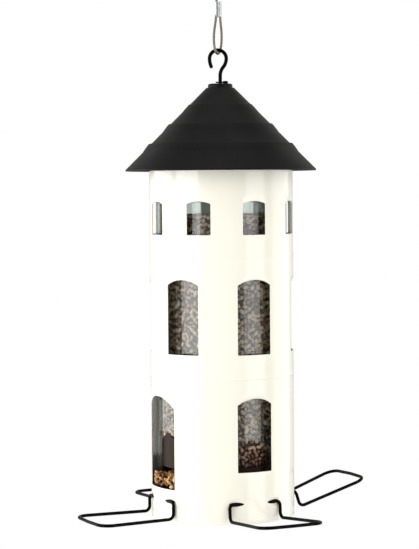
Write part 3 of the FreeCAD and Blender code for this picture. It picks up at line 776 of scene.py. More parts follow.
@dataclass
class PiercedTube:
    """A round wall with arched openings, made as a grid of columns and level lines."""

    radius: float
    wall: float
    lip: float
    narrow: Window
    wide: Window
    bead_height: float = 0.0
    beads: tuple[tuple[float, float], ...] = ()

    def door_head(self, turn: float) -> float:
        """Height of the line over the doors, which runs level with their arches between them."""
        for door in (self.narrow, self.wide):
            if door.covers(turn, self.radius):
                return door.head(turn, self.radius)
        to_wide = abs(self.wide.off(turn)) - self.wide.reach(self.radius)
        to_narrow = abs(self.narrow.off(turn)) - self.narrow.reach(self.radius)
        share = to_wide / max(to_wide + to_narrow, 1e-6)
        return self.wide.springing + share * (self.narrow.springing - self.wide.springing)

    def at_wide(self, turn: float) -> bool:
        """Whether a wide door spans this angle."""
        return self.wide.covers(turn, self.radius)

    def at_door(self, turn: float) -> bool:
        """Whether any door spans this angle."""
        return self.at_wide(turn) or self.narrow.covers(turn, self.radius)

    def sheet(
        self,
        name: str,
        turns: Sequence[float],
        keys: Sequence[tuple[Line, int, Opened | None]],
        finish: Material,
    ) -> Object:
        """Makes the wall, with a rolled lip round each opening.

        Args:
            name: Name of the piece.
            turns: Angles that the wall is divided at.
            keys: Level lines from the foot up, the steps to the next line, and what is open between.
            finish: The wall's material.

        Returns:
            The wall.
        """
        ordered = sorted(t % 360.0 for t in turns)
        columns = [ordered[0]]
        for turn in ordered[1:]:
            if turn - columns[-1] > LEAST_COLUMN:
                columns.append(turn)
        levels: list[tuple[Line, Opened | None]] = []
        for (low, steps, opened), (high, _, _) in zip(keys, keys[1:]):
            for step in range(steps):
                levels.append((lambda t, a=low, b=high, s=step / steps: a(t) * (1 - s) + b(t) * s, opened))
        levels.append((keys[-1][0], None))
        heights = np.array([[line(t) for t in columns] for line, _ in levels])
        count = len(columns)
        mids = [(columns[j] + ((columns[(j + 1) % count] - columns[j]) % 360.0) / 2) % 360.0 for j in range(count)]
        outer: Faces = []
        for i, (_, opened) in enumerate(levels[:-1]):
            for j in range(count):
                if opened is None or not opened(mids[j]):
                    k = (j + 1) % count
                    outer.append((i * count + j, i * count + k, (i + 1) * count + k, (i + 1) * count + j))
        angle = np.tile(np.radians(columns), len(levels))
        return self._thicken(name, outer, angle, heights.ravel(), self._swell(heights).ravel(), finish)

    def _swell(self, heights: np.ndarray) -> np.ndarray:
        """How far the wall stands out at each height, for the pressed ring beads."""
        swell = np.zeros_like(heights)
        for centre, width in self.beads:
            off = np.minimum(np.abs(heights - centre) / (width / 2), 1.0)
            crest = self.bead_height * np.cos(off * math.pi / 2) ** 1.5
            swell = np.maximum(swell, np.where(off < 1, crest, 0.0))
        return swell

    def _thicken(
        self,
        name: str,
        outer: Faces,
        angle: np.ndarray,
        height: np.ndarray,
        swell: np.ndarray,
        finish: Material,
    ) -> Object:
        """Gives the sheet its wall, and rolls a lip round the edge of each opening.

        Args:
            name: Name of the piece.
            outer: Faces of the outer sheet.
            angle: Angle of each point.
            height: Height of each point.
            swell: How far each point stands out.
            finish: The material.

        Returns:
            The wall.
        """
        total = len(angle)
        along = angle * self.radius
        lap = 2 * math.pi * self.radius
        edges = {(f[i], f[(i + 1) % 4]) for f in outer for i in range(4)}
        rim = [(a, b) for a, b in edges if (b, a) not in edges]
        push = np.zeros((total, 2))
        for a, b in rim:
            ds = (along[b] - along[a] + lap / 2) % lap - lap / 2
            dz = height[b] - height[a]
            size = math.hypot(ds, dz) or 1.0
            for point in (a, b):
                push[point] += (dz / size, -ds / size)
        size = np.linalg.norm(push, axis=1)
        push[size > 0] /= size[size > 0][:, None]
        edge_points = sorted({p for pair in rim for p in pair})
        order = {p: i for i, p in enumerate(edge_points)}
        picked = np.array(edge_points)

        def placed(index: np.ndarray, depth: float, out: float) -> np.ndarray:
            """Puts points of the sheet in space.

            Args:
                index: Which points.
                depth: How far under the outer face they lie.
                out: How far they stand into the opening.

            Returns:
                Their places.
            """
            turn = angle[index] + push[index, 0] * out / self.radius
            reach = self.radius + swell[index] - depth
            return np.stack([reach * np.cos(turn), reach * np.sin(turn), height[index] + push[index, 1] * out], axis=1)

        every = np.arange(total)
        inner = placed(every, self.wall, 0.0)
        points = [placed(every, 0.0, 0.0), inner]
        lip, wall = self.lip, self.wall
        for depth, out in ((0.06, 0.7), (0.2, 1.0), (wall - 0.2, 1.0), (wall - 0.06, 0.7)):
            points.append(placed(picked, depth, out * lip))
        faces = list(outer) + [tuple(p + total for p in reversed(f)) for f in outer]
        base = 2 * total
        size_rim = len(edge_points)
        for a, b in rim:
            ia, ib = order[a], order[b]
            loop_a = [a] + [base + i * size_rim + ia for i in range(4)] + [a + total]
            loop_b = [b] + [base + i * size_rim + ib for i in range(4)] + [b + total]
            for i in range(5):
                faces.append((loop_b[i], loop_a[i], loop_a[i + 1], loop_b[i + 1]))
        piece = new_piece(name, np.concatenate(points), faces, finish, sharp=60.0)
        work = bmesh.new()
        work.from_mesh(piece.data)
        bmesh.ops.delete(work, geom=[v for v in work.verts if not v.link_faces], context="VERTS")
        work.to_mesh(piece.data)
        work.free()
        return piece


@dataclass
class Tower(PiercedTube):
    """The enamelled tube: ring beads, arched windows and doors, and slots for the perch wires."""

    radius: float = 55.0
    height: float = 276.0
    wall: float = 0.8
    bead_height: float = 0.35
    beads: tuple[tuple[float, float], ...] = ((108.6, 2.2), (199.6, 3.6))
    upper: Window = Window(9.5, 215.7, 239.0, 240.9, tuple(45.0 * i for i in range(8)))
    middle: Window = Window(13.9, 126.3, 178.3, 182.5, tuple(30.0 + 60.0 * i for i in range(6)))
    narrow: Window = Window(14.4, 38.7, 89.2, 94.0, (Side.FRONT.value, Side.REAR.value))
    wide: Window = Window(20.6, 24.2, 85.0, 94.0, (Side.LEFT.value, Side.RIGHT.value))
    pivot_radius: float = 52.5
    pivot_height: float = 15.4
    pivot_bore: float = 1.65
    slot_edge: float = 0.4
    lip: float = 0.12

    def from_door(self, turn: float) -> float:
        """Degrees from the middle of the nearest door."""
        return abs(nearest(turn, [side.value for side in Side]))

    def slot_half(self, turn: float) -> float:
        """Half the height of the perch slot at this angle, or its edge's height beside it."""
        off = self.from_door(turn)
        across = self.radius * math.cos(math.radians(off)) - self.pivot_radius
        deep = self.pivot_bore**2 - across**2
        return max(self.slot_edge, math.sqrt(deep)) if deep > 0 and off < 30 else self.slot_edge

    def slot_reach(self) -> tuple[float, float]:
        """First and last angle of each perch slot, from the middle of its door."""
        step = math.sqrt(self.pivot_bore**2 - self.slot_edge**2)
        near = math.degrees(math.acos((self.pivot_radius + step) / self.radius))
        return near, math.degrees(math.acos((self.pivot_radius - step) / self.radius))

    def in_slot(self, turn: float) -> bool:
        """Whether a perch slot spans this angle."""
        near, far = self.slot_reach()
        return near < self.from_door(turn) < far

    def build(self, finish: Material) -> Object:
        """Builds the shell.

        Args:
            finish: The enamel.

        Returns:
            The shell.
        """
        radius, beads = self.radius, self.beads
        near, far = self.slot_reach()
        turns = [2.0 * i for i in range(180)]
        for window in (self.upper, self.middle, self.narrow, self.wide):
            turns += window.columns(radius)
        for side in Side:
            for share in np.linspace(0, 1, 9):
                reach = float(near + share * (far - near))
                turns += [side.value + reach, side.value - reach]
        keys = [
            (lambda t: self.lip, 4, None),
            (lambda t: self.pivot_height - self.slot_half(t), 1, self.in_slot),
            (lambda t: self.pivot_height + self.slot_half(t), 3, None),
            (lambda t: self.wide.foot(t, radius), 4, self.at_wide),
            (lambda t: self.narrow.foot(t, radius), 10, self.at_door),
            (self.door_head, 3, None),
            (lambda t: beads[0][0] - beads[0][1] / 2, 8, None),
            (lambda t: beads[0][0] + beads[0][1] / 2, 4, None),
            (lambda t: self.middle.foot(t, radius), 12, lambda t: self.middle.covers(t, radius)),
            (lambda t: self.middle.head(t, radius), 4, None),
            (lambda t: beads[1][0] - beads[1][1] / 2, 10, None),
            (lambda t: beads[1][0] + beads[1][1] / 2, 4, None),
            (lambda t: self.upper.foot(t, radius), 6, lambda t: self.upper.covers(t, radius)),
            (lambda t: self.upper.head(t, radius), 6, None),
            (lambda t: self.height - self.lip, 0, None),
        ]
        return settle(self.sheet("tower_enamel_shell", turns, keys, finish), "tower", ["tower_shell"])


@dataclass
class SeedTube(PiercedTube):
    """The clear inner tube, with a port behind each door."""

    radius: float = 50.0
    wall: float = 3.0
    lip: float = 0.0
    narrow: Window = Window(11.5, 39.0, 58.0, 62.0, (Side.FRONT.value, Side.REAR.value))
    wide: Window = Window(18.5, 24.2, 61.0, 67.0, (Side.LEFT.value, Side.RIGHT.value))
    bottom: float = 22.0
    top: float = 262.0

    def build(self, finish: Material) -> Object:
        """Builds the tube.

        Args:
            finish: The acrylic.

        Returns:
            The tube.
        """
        turns = [2.0 * i for i in range(180)] + self.narrow.columns(self.radius) + self.wide.columns(self.radius)
        keys = [
            (lambda t: self.bottom, 1, None),
            (lambda t: self.wide.foot(t, self.radius), 4, self.at_wide),
            (lambda t: self.narrow.foot(t, self.radius), 8, self.at_door),
            (self.door_head, 16, None),
            (lambda t: self.top, 0, None),
        ]
        return settle(self.sheet("seed_tube_acrylic", turns, keys, finish), "tower", ["seed_tube"])


# ---------------------------------------------------------------- roof


@dataclass
class Roof:
    """The spun conical roof: three sharp-edged ledges, a rolled rim and the hole for the cap."""

    apex: float = 337.8
    radius: float = 72.9
    wall: float = 1.5
    hole: float = 10.6
    ledges: tuple[tuple[float, float], ...] = ((23.7, 0.5), (38.9, 1.0), (54.0, 1.3))
    run: float = 5.6
    nose: float = 0.5
    round: float = 0.5
    ease: float = 0.28         # rounding of the corners that a spinning tool leaves
    least_turn: float = 18.0
    segments: int = 216

    def on_cone(self, radius: float, proud: float = 0.0) -> tuple[float, float]:
        """A point of the outer surface, standing proud along its normal."""
        step = proud / math.sqrt(2)
        return radius + step, self.apex - radius + step

    def _bow(self, start: Sequence[float], middle: Sequence[float], end: Sequence[float]) -> list[tuple[float, float]]:
        """Points of a curve from start to end that passes the middle point."""
        a, m, b = (Vector(p) for p in (start, middle, end))
        pull = m * 2 - (a + b) / 2
        return [tuple(a * (1 - t) ** 2 + pull * 2 * t * (1 - t) + b * t**2) for t in (0.2, 0.4, 0.6, 0.8)]

    def build(self, finish: Material) -> Object:
        """Builds the roof.

        Args:
            finish: The powder coat.

        Returns:
            The roof.
        """
        down = [self.on_cone(self.hole)]
        for radius, height in self.ledges:
            nose, foot = self.on_cone(radius, height), self.on_cone(radius + self.run)
            down += [self.on_cone(radius - self.nose), nose]
            down += self._bow(nose, self.on_cone(radius + self.run / 2, height * 0.62), foot)
            down.append(foot)
        rim, inner_rim = self.on_cone(self.radius), self.on_cone(self.radius, -self.wall)
        lowest = ((rim[0] + inner_rim[0]) / 2 + self.round, (rim[1] + inner_rim[1]) / 2 - self.round)
        down += [rim] + self._bow(rim, lowest, inner_rim) + [inner_rim]
        inner_apex = self.apex - self.wall * math.sqrt(2)
        down += [(r, inner_apex - r) for r in (self.radius * 0.6, self.hole)]
        profile = eased(list(reversed(down)), self.ease, above=self.least_turn)
        points, faces = lathe(profile, self.segments)
        piece = new_piece("roof_spun_cone", points, faces, finish, sharp=50.0, recalc=True)
        return settle(piece, "roof", ["roof_cone", "roof_collar"])


# ---------------------------------------------------------------- perches


@dataclass
class Perch:
    """One folding wire perch at a door."""

    side: Side
    raised: float
    pivot_radius: float = 52.5
    pivot_height: float = 15.4
    end: float = 6.0
    leg: float = 21.2
    drop: float = 12.4
    reach: float = 59.5
    half_width: float = 26.0
    bow: float = 1.2
    wire: float = 1.25
    bends: tuple[float, ...] = (3.0, 4.0, 9.0)     # radii at the ear, the leg and the corner
    edge_bend: float = 60.0

    def build(self, finish: Material) -> Object:
        """Builds the perch in its place.

        Args:
            finish: The wire's coating.

        Returns:
            The perch.
        """
        outer = self.pivot_radius + self.reach
        low = self.pivot_height - self.drop
        half = [
            (self.pivot_radius, self.end, self.pivot_height),
            (self.pivot_radius, self.leg, self.pivot_height),
            (self.pivot_radius, self.leg, low),
            (outer, self.half_width, low),
        ]
        mirrored = [(x, -y, z) for x, y, z in reversed(half)]
        radii = [*self.bends, self.edge_bend, *reversed(self.bends)]
        path = bent(half + [(outer + self.bow, 0.0, low)] + mirrored, radii, 10)
        pivot = Matrix.Translation((self.pivot_radius, 0, self.pivot_height))
        tilt = pivot @ Matrix.Rotation(math.radians(-self.raised), 4, "Y") @ pivot.inverted()
        turn = Matrix.Rotation(math.radians(self.side.value), 4, "Z") @ tilt
        placed = np.array([tuple(turn @ Vector(p)) for p in path])
        points, faces = rod(placed, self.wire, 16)
        name = self.side.name.lower()
        piece = new_piece(f"perch_wire_{name}", points, faces, finish, recalc=True)
        return settle(piece, f"{name}_perch", [f"perch_{name}"])


# ---------------------------------------------------------------- hanger


@dataclass
class Hook:
    """The hanger's one wire: a straight stem, a neck set to one side and a hook."""

    wire: float = 1.4
    bottom: float = 266.3
    stem_top: float = 336.3
    neck_set: float = 4.75
    crown: float = 6.4
    tip_in: float = 1.85
    tip_drop: float = 7.3

    def build(self, finish: Material) -> Object:
        """Builds the hook in its plane.

        Args:
            finish: The wire's coating.

        Returns:
            The hook.
        """
        rise = CROWN_HEIGHT - self.stem_top
        bend = 2 * math.atan(self.neck_set / rise)
        radius = rise / (2 * math.sin(bend))
        curl = 2 * math.atan(self.tip_in / self.tip_drop)
        tip_radius = self.tip_drop / math.sin(curl)
        crown_x = self.neck_set - self.crown
        arcs = [
            (radius, self.stem_top, radius, math.pi, math.pi - bend),
            (self.neck_set - radius, CROWN_HEIGHT, radius, -bend, 0.0),
            (crown_x, CROWN_HEIGHT, self.crown, 0.0, math.pi),
            (crown_x - self.crown + tip_radius, CROWN_HEIGHT, tip_radius, math.pi, math.pi + curl),
        ]
        line = [(0.0, 0.0, z) for z in np.linspace(self.bottom, self.stem_top, 8)]
        for x, z, size, start, end in arcs:
            for turn in np.linspace(start, end, 20 if size == self.crown else 9)[1:]:
                line.append((x + size * math.cos(turn), 0.0, z + size * math.sin(turn)))
        points, faces = rod(in_hook_plane(line), self.wire, 20)
        piece = new_piece("hanger_hook_wire", points, faces, finish, recalc=True)
        return settle(piece, "hanger", ["hanger_hook"])


# ---------------------------------------------------------------- rope


@dataclass
class Rope:
    """The looped steel rope and its two pressed sleeves."""

    radius: float = 1.0
    length: float = 201.7
    strands: int = 6
    lay: float = 13.0
    sleeve_wall: float = 0.5
    sleeve_feet: tuple[float, ...] = (31.5, 54.5)
    sleeve_length: float = 11.7
    sleeve_end: tuple[tuple[float, float], ...] = ((0.0, 0.88), (0.12, 0.95), (0.4, 1.0))
    crimp_pitch: float = 2.9
    crimp_depth: float = 0.07
    crimp_width: float = 0.45
    strand_share: float = 0.37     # radius of a strand, as a share of the rope's
    sample: float = 0.75           # length of rope between rings of a strand
    left: float = -2.4
    exit_height: float = 368.0
    # Along the hook's plane, across it, and the height above the centre of the hook's crown.
    route: tuple[Point, ...] = (
        (0.0, 0.0, 42.0),
        (0.0, 0.0, 32.5),
        (1.6, 2.6, 16.5),
        (-0.2, 4.0, 3.6),
        (-3.4, -4.0, 3.6),
        (-5.0, -2.6, 16.5),
        (-2.4, 0.0, 32.5),
        (-2.4, 0.0, 66.0),
        (-13.9, 0.0, 88.5),
        (-7.55, 0.0, 99.5),
        (5.15, 0.0, 99.5),
        (11.5, 0.0, 88.5),
        (0.0, 0.0, 66.0),
        (0.0, 0.0, 55.0),
    )

    def centreline(self) -> np.ndarray:
        """Reads the rope's middle line from a smooth spline on its route.

        Returns:
            Points in millimetres.
        """
        placed = in_hook_plane([(u, w, CROWN_HEIGHT + rise) for u, w, rise in self.route]) * MM
        curve = bpy.data.curves.new("rope_route", "CURVE")
        curve.dimensions = "3D"
        curve.resolution_u = 26
        spline = curve.splines.new("NURBS")
        spline.points.add(len(placed) - 1)
        for point, place in zip(spline.points, placed):
            point.co = (*place, 1.0)
        spline.order_u = 3
        spline.use_endpoint_u = True
        helper = add_object("rope_route", curve)
        mesh = evaluated(helper)
        line = np.array([tuple(v.co) for v in mesh.vertices]) / MM
        bpy.data.objects.remove(helper)
        bpy.data.curves.remove(curve)
        bpy.data.meshes.remove(mesh)
        return line

    def build(self, steel: Material, alloy: Material) -> None:
        """Args:
            steel: Finish of the rope.
            alloy: Finish of the sleeves.
        """
        line = self.centreline()
        step = np.r_[0.0, np.cumsum(np.linalg.norm(np.diff(line, axis=0), axis=1))]
        even = np.linspace(0, step[-1], int(step[-1] / self.sample))
        line = np.stack([np.interp(even, step, line[:, i]) for i in range(3)], axis=1)
        tangents = np.gradient(line, axis=0)
        tangents /= np.linalg.norm(tangents, axis=1)[:, None]
        normals = [np.cross(tangents[0], (0.3, 0.5, 0.8))]
        for tangent in tangents:
            normal = normals[-1] - tangent * np.dot(normals[-1], tangent)
            normals.append(normal / np.linalg.norm(normal))
        normals = np.array(normals[1:])
        across = np.cross(tangents, normals)
        strand = self.radius * self.strand_share
        offset = self.radius - strand
        points, faces, base = [], [], 0
        for index in range(self.strands + 1):
            turn = 2 * math.pi * (even / self.lay + index / self.strands)
            middle = line + offset * (np.cos(turn)[:, None] * normals + np.sin(turn)[:, None] * across)
            more, added = rod(line if index == self.strands else middle, strand, 8)
            points.append(more)
            faces += [tuple(base + p for p in f) for f in added]
            base += len(more)
        rope = new_piece("tether_rope", np.concatenate(points), faces, steel, sharp=60.0)
        settle(rope, "tether", ["cable"])
        sleeves = [
            self._sleeve(f"tether_sleeve_{name}", foot, alloy, f"cable_ferrule_{name}")
            for name, foot in zip(("lower", "upper"), self.sleeve_feet)
        ]

    def _sleeve(self, name: str, rise: float, alloy: Material, node: str) -> Object:
        """Builds one pressed double-barrel sleeve.

        Args:
            name: Name of the piece.
            rise: Height of its foot above the hook's crown.
            alloy: Its finish.
            node: The CAD node that it stands for.

        Returns:
            The sleeve.
        """
        half = self.radius + self.sleeve_wall
        reach = -self.left / 2
        turns = [math.radians(t) for t in range(-120, 121, 15)]
        outline = [(reach + half * math.cos(t), half * math.sin(t)) for t in turns]
        outline += [(-x, -y) for x, y in outline]
        rows = list(self.sleeve_end)
        for z in np.arange(0.8, 11.0, self.crimp_pitch / 10):
            off = (z % self.crimp_pitch - self.crimp_pitch / 2) / self.crimp_width
            rows.append((z, 1.0 - self.crimp_depth * math.exp(-(off**2))))
        rows += [(self.sleeve_length - z, scale) for z, scale in reversed(self.sleeve_end)]
        points = [
            (self.left / 2 + x * (1 + (scale - 1) * 0.6), y * scale, CROWN_HEIGHT + rise + z)
            for z, scale in rows
            for x, y in outline
        ]
        piece = new_piece(name, in_hook_plane(points), bar_faces(len(rows), len(outline)), alloy, recalc=True)
        return settle(piece, "tether", [node])


# ---------------------------------------------------------------- seed


class SeedForm(Enum):
    """The two kernels in the mix: length, width and thickness in millimetres."""

    LONG = (4.9, 2.7, 2.1)
    ROUND = (3.9, 3.0, 2.4)


@dataclass
class Seed:
    """The seed in the tube and on the tray, as scattered kernels over a core painted dark as the shade among them."""

    tube_inner: float = 46.7
    level: float = 230.5
    ridge: float = 66.0
    slope: float = 0.55
    spacing: float = 2.9
    close: float = 2.5             # spacing of the kernels on top and on the tray
    tray_tilt: float = 0.6
    skin: float = 1.35             # from the tube to the surface that the kernels lie on
    core_skin: float = 2.3         # from the tube to the core, painted dark as shade
    core_lift: float = 0.4         # from the ramp to the core
    core_sink: float = 1.2         # from the level of the seed down to the core
    ripple: float = 0.7            # how uneven the core's side is
    around: int = 96
    bands: tuple[tuple[str, float, float], ...] = (
        ("lower", 38.0, 104.0),
        ("middle", 118.0, 192.0),
        ("upper", 207.0, 229.5),
    )
    bed_radius: float = 52.3
    bed_half: float = 16.6
    # How far inside that radius, and the height, from the front of a bed to its back.
    bed: tuple[tuple[float, float], ...] = (
        (0.0, 25.8),
        (0.0, 29.0),
        (0.0, 32.3),
        (0.8, 33.0),
        (8.0, 33.1),
        (18.0, 33.0),
        (28.0, 33.0),
        (36.0, 27.0),
    )
    kernels: list[Object] = field(default_factory=list)

    def lower(self, y: float) -> float:
        """Height of the ramp's upper side, at a distance from its ridge."""
        return self.ridge - self.slope * abs(y)

    def build_kernels(self) -> None:
        """Builds the kernels that are scattered, a few dozen faces each."""
        for form in SeedForm:
            length, width, thick = form.value
            points, faces, count = [], [], 7
            for along, girth in ((-0.4, 0.5), (-0.14, 0.94), (0.16, 1.0), (0.4, 0.6)):
                for i in range(count):
                    turn = 2 * math.pi * i / count
                    points.append(
                        (along * length, girth * width / 2 * math.cos(turn), girth * thick / 2 * math.sin(turn))
                    )
            points += [(-length / 2, 0, 0), (length / 2, 0, 0)]
            for i in range(3):
                for j in range(count):
                    k = (j + 1) % count
                    faces.append((i * count + j, (i + 1) * count + j, (i + 1) * count + k, i * count + k))
            for j in range(count):
                k = (j + 1) % count
                faces += [(4 * count, j, k), (4 * count + 1, 3 * count + k, 3 * count + j)]
            mesh = mesh_of(f"kernel_{form.name.lower()}", points, faces, recalc=True)
            smooth(mesh)
            self.kernels.append(add_object(mesh.name, mesh))

    def clear_kernels(self) -> None:
        """Removes the kernels that were only scattered from."""
        for helper in self.kernels:
            mesh = helper.data
            bpy.data.objects.remove(helper)
            bpy.data.meshes.remove(mesh)

    def scatter_tree(self, finish: Material) -> Tree:
        """Builds the tree that scatters kernels over a surface.

        Args:
            finish: The kernels' material.

        Returns:
            The Geometry Nodes tree.
        """
        tree = bpy.data.node_groups.new("scatter_kernels", "GeometryNodeTree")
        face = tree.interface
        face.new_socket("Geometry", in_out="INPUT", socket_type="NodeSocketGeometry")
        for name, kind, value in (
            ("Spacing", "NodeSocketFloat", 0.002),
            ("Tilt", "NodeSocketFloat", 0.4),
            ("Size Low", "NodeSocketFloat", 0.8),
            ("Size High", "NodeSocketFloat", 1.1),
            ("Seed", "NodeSocketInt", 1),
            ("Long Kernel", "NodeSocketObject", None),
            ("Round Kernel", "NodeSocketObject", None),
        ):
            socket = face.new_socket(name, in_out="INPUT", socket_type=kind)
            if value is not None:
                socket.default_value = value
        face.new_socket("Geometry", in_out="OUTPUT", socket_type="NodeSocketGeometry")
        given = add_node(tree, "NodeGroupInput").outputs
        spread = add_node(
            tree,
            "GeometryNodeDistributePointsOnFaces",
            {"distribute_method": "POISSON"},
            {
                "Mesh": given["Geometry"],
                "Distance Min": given["Spacing"],
                "Density Max": 1.0e6,
                "Seed": given["Seed"],
            },
        )
        tilt = given["Tilt"]
        back = maths(tree, "MULTIPLY", tilt, -1.0)
        low = add_node(tree, "ShaderNodeCombineXYZ", inputs={0: back, 1: back, 2: -3.1416}).outputs[0]
        high = add_node(tree, "ShaderNodeCombineXYZ", inputs={0: tilt, 1: tilt, 2: 3.1416}).outputs[0]
        spin = add_node(
            tree,
            "FunctionNodeRandomValue",
            {"data_type": "FLOAT_VECTOR"},
            {"Min": low, "Max": high, "Seed": given["Seed"]},
        ).outputs["Value"]
        euler = add_node(tree, "FunctionNodeEulerToRotation", inputs={0: spin}).outputs[0]
        turned = add_node(
            tree,
            "FunctionNodeRotateRotation",
            {"rotation_space": "LOCAL"},
            {"Rotation": spread.outputs["Rotation"], "Rotate By": euler},
        ).outputs[0]
        size = add_node(tree, "FunctionNodeRandomValue", {"data_type": "FLOAT"})
        sockets = [s for s in size.inputs if s.enabled]
        tree.links.new(given["Size Low"], sockets[0])
        tree.links.new(given["Size High"], sockets[1])
        kinds = add_node(tree, "GeometryNodeJoinGeometry")
        for name in ("Round Kernel", "Long Kernel"):
            info = add_node(tree, "GeometryNodeObjectInfo", inputs={"Object": given[name], "As Instance": True})
            tree.links.new(info.outputs["Geometry"], kinds.inputs[0])
        placed = add_node(
            tree,
            "GeometryNodeInstanceOnPoints",
            inputs={
                "Points": spread.outputs["Points"],
                "Instance": kinds.outputs[0],
                "Pick Instance": True,
                "Rotation": turned,
                "Scale": [s for s in size.outputs if s.enabled][0],
            },
        ).outputs[0]
        tone = add_node(tree, "FunctionNodeRandomValue", {"data_type": "FLOAT"})
        stored = add_node(
            tree,
            "GeometryNodeStoreNamedAttribute",
            {"data_type": "FLOAT", "domain": "INSTANCE"},
            {"Geometry": placed, "Name": "tone"},
        )
        value = [s for s in stored.inputs if s.enabled and s.name == "Value"][0]
        tree.links.new([s for s in tone.outputs if s.enabled][0], value)
        real = add_node(tree, "GeometryNodeRealizeInstances", inputs={0: stored.outputs[0]}).outputs[0]
        dressed = add_node(tree, "GeometryNodeSetMaterial", inputs={"Geometry": real, "Material": finish}).outputs[0]
        add_node(tree, "NodeGroupOutput", inputs={0: dressed})
        return tree

    def scatter(
        self,
        name: str,
        points: Any,
        faces: Faces,
        tree: Tree,
        number: int,
        slot: str,
        node: str,
        spacing: float,
        tilt: float = 0.28,
    ) -> Object:
        """Scatters kernels over a surface and keeps the result as a plain mesh.

        Args:
            name: Name of the piece.
            points: Points of the surface, in millimetres.
            faces: Its faces.
            tree: The tree that scatters.
            number: The random seed.
            slot: Not used.
            node: The CAD node that the piece stands for.
            spacing: Least distance between kernels, in millimetres.
            tilt: How far a kernel may lean, in radians.

        Returns:
            The piece.
        """
        mesh = mesh_of(name + "_surface", points, faces)
        helper = bpy.data.objects.new(name + "_surface", mesh)
        modifier = helper.modifiers.new("scatter", "NODES")
        modifier.node_group = tree
        ids = {item.name: item.identifier for item in tree.interface.items_tree if item.in_out == "INPUT"}
        modifier[ids["Spacing"]] = spacing * MM
        modifier[ids["Tilt"]] = tilt
        modifier[ids["Seed"]] = number
        modifier[ids["Long Kernel"]] = self.kernels[0]
        modifier[ids["Round Kernel"]] = self.kernels[1]
        bpy.context.scene.collection.objects.link(helper)
        made = evaluated(helper)
        made.name = name
        bpy.data.objects.remove(helper)
        bpy.data.meshes.remove(mesh)
        piece = add_object(name, made)
        log.info("%s has %d faces", name, len(made.polygons))
        return settle(piece, "tower", [node])

    def band(self, radius: float, low: float, high: float) -> tuple[np.ndarray, Faces]:
        """The side of the seed between two heights, above the ramp.

        Args:
            radius: Radius of the band.
            low: Its lowest height.
            high: Its top.

        Returns:
            Points and faces.
        """
        count, rows = self.around, 8
        points = []
        for i in range(rows + 1):
            for j in range(count):
                turn = 2 * math.pi * j / count
                x, y = radius * math.cos(turn), radius * math.sin(turn)
                foot = max(low, self.lower(y) + 1.3)
                points.append((x, y, foot + (high - foot) * i / rows))
        return np.array(points), ring_faces(rows + 1, count)

    def core(self, finish: Material) -> Object:
        """Builds the body of the seed behind the outer kernels, painted dark as the shade there.

        Args:
            finish: Its material.

        Returns:
            The core.
        """
        radius, count, rings, rows = self.tube_inner - self.core_skin, self.around, 8, 24
        top = self.level - self.core_sink
        rng = np.random.default_rng(7)
        points = [(0.0, 0.0, self.lower(0) + self.core_lift)]
        for ring in range(1, rings + 1):
            for j in range(count):
                turn = 2 * math.pi * j / count
                x, y = radius * ring / rings * math.cos(turn), radius * ring / rings * math.sin(turn)
                points.append((x, y, self.lower(y) + self.core_lift))
        for row in range(1, rows + 1):
            for j in range(count):
                turn = 2 * math.pi * j / count
                x, y = math.cos(turn), math.sin(turn)
                foot = self.lower(radius * y) + self.core_lift
                size = radius - (rng.uniform(0, self.ripple) if row < rows else 0.0)
                points.append((size * x, size * y, foot + (top - foot) * row / rows))
        points.append((0.0, 0.0, top))
        faces = ring_faces(rings + rows, count, base=1)
        last = 1 + (rings + rows - 1) * count
        for j in range(count):
            k = (j + 1) % count
            faces += [(0, 1 + k, 1 + j), (len(points) - 1, last + j, last + k)]
        piece = new_piece("seed_core", points, faces, finish, recalc=True)
        return settle(piece, "tower", ["seed_fill"])

    def heaps(self) -> tuple[np.ndarray, Faces]:
        """The outer and upper sides of the two beds of loose seed on the tray.

        Returns:
            Points and faces.
        """
        across = np.linspace(-self.bed_half, self.bed_half, 15)
        points, faces = [], []
        for side in (-1, 1):
            base = len(points)
            for inward, height in self.bed:
                points += [(side * (math.sqrt(self.bed_radius**2 - y**2) - inward), side * y, height) for y in across]
            for i in range(len(self.bed) - 1):
                for j in range(len(across) - 1):
                    a = base + i * len(across) + j
                    faces.append((a, a + 1, a + len(across) + 1, a + len(across)))
        return np.array(points), faces

    def build(self, kernel: Material, loose: Material, packed: Material) -> None:
        """Builds the core, the outer kernels and the loose seed on the tray.

        Args:
            kernel: Finish of the kernels in the tube.
            loose: Finish of the kernels on the tray.
            packed: Finish of the core.
        """
        self.core(packed)
        self.build_kernels()
        tree = self.scatter_tree(kernel)
        radius = self.tube_inner - self.skin
        for number, (part, low, high) in enumerate(self.bands, 1):
            points, faces = self.band(radius, low, high)
            self.scatter(f"seed_{part}", points, faces, tree, number, "seed", "seed_fill", self.spacing)
        count = 48
        ring = [(2 * math.pi * j / count) for j in range(count)]
        top = [(radius * math.cos(t), radius * math.sin(t), self.level - 0.9) for t in ring]
        top.append((0, 0, self.level - 0.6))
        fan = [(count, j, (j + 1) % count) for j in range(count)]
        self.scatter("seed_top", top, fan, tree, 9, "seed", "seed_fill", self.close)
        bpy.data.node_groups.remove(tree)
        tree = self.scatter_tree(loose)
        points, faces = self.heaps()
        self.scatter("seed_on_tray", points, faces, tree, 11, "seed_loose", "tray_seed", self.close, self.tray_tilt)
        bpy.data.node_groups.remove(tree)
        self.clear_kernels()


# ---------------------------------------------------------------- studio


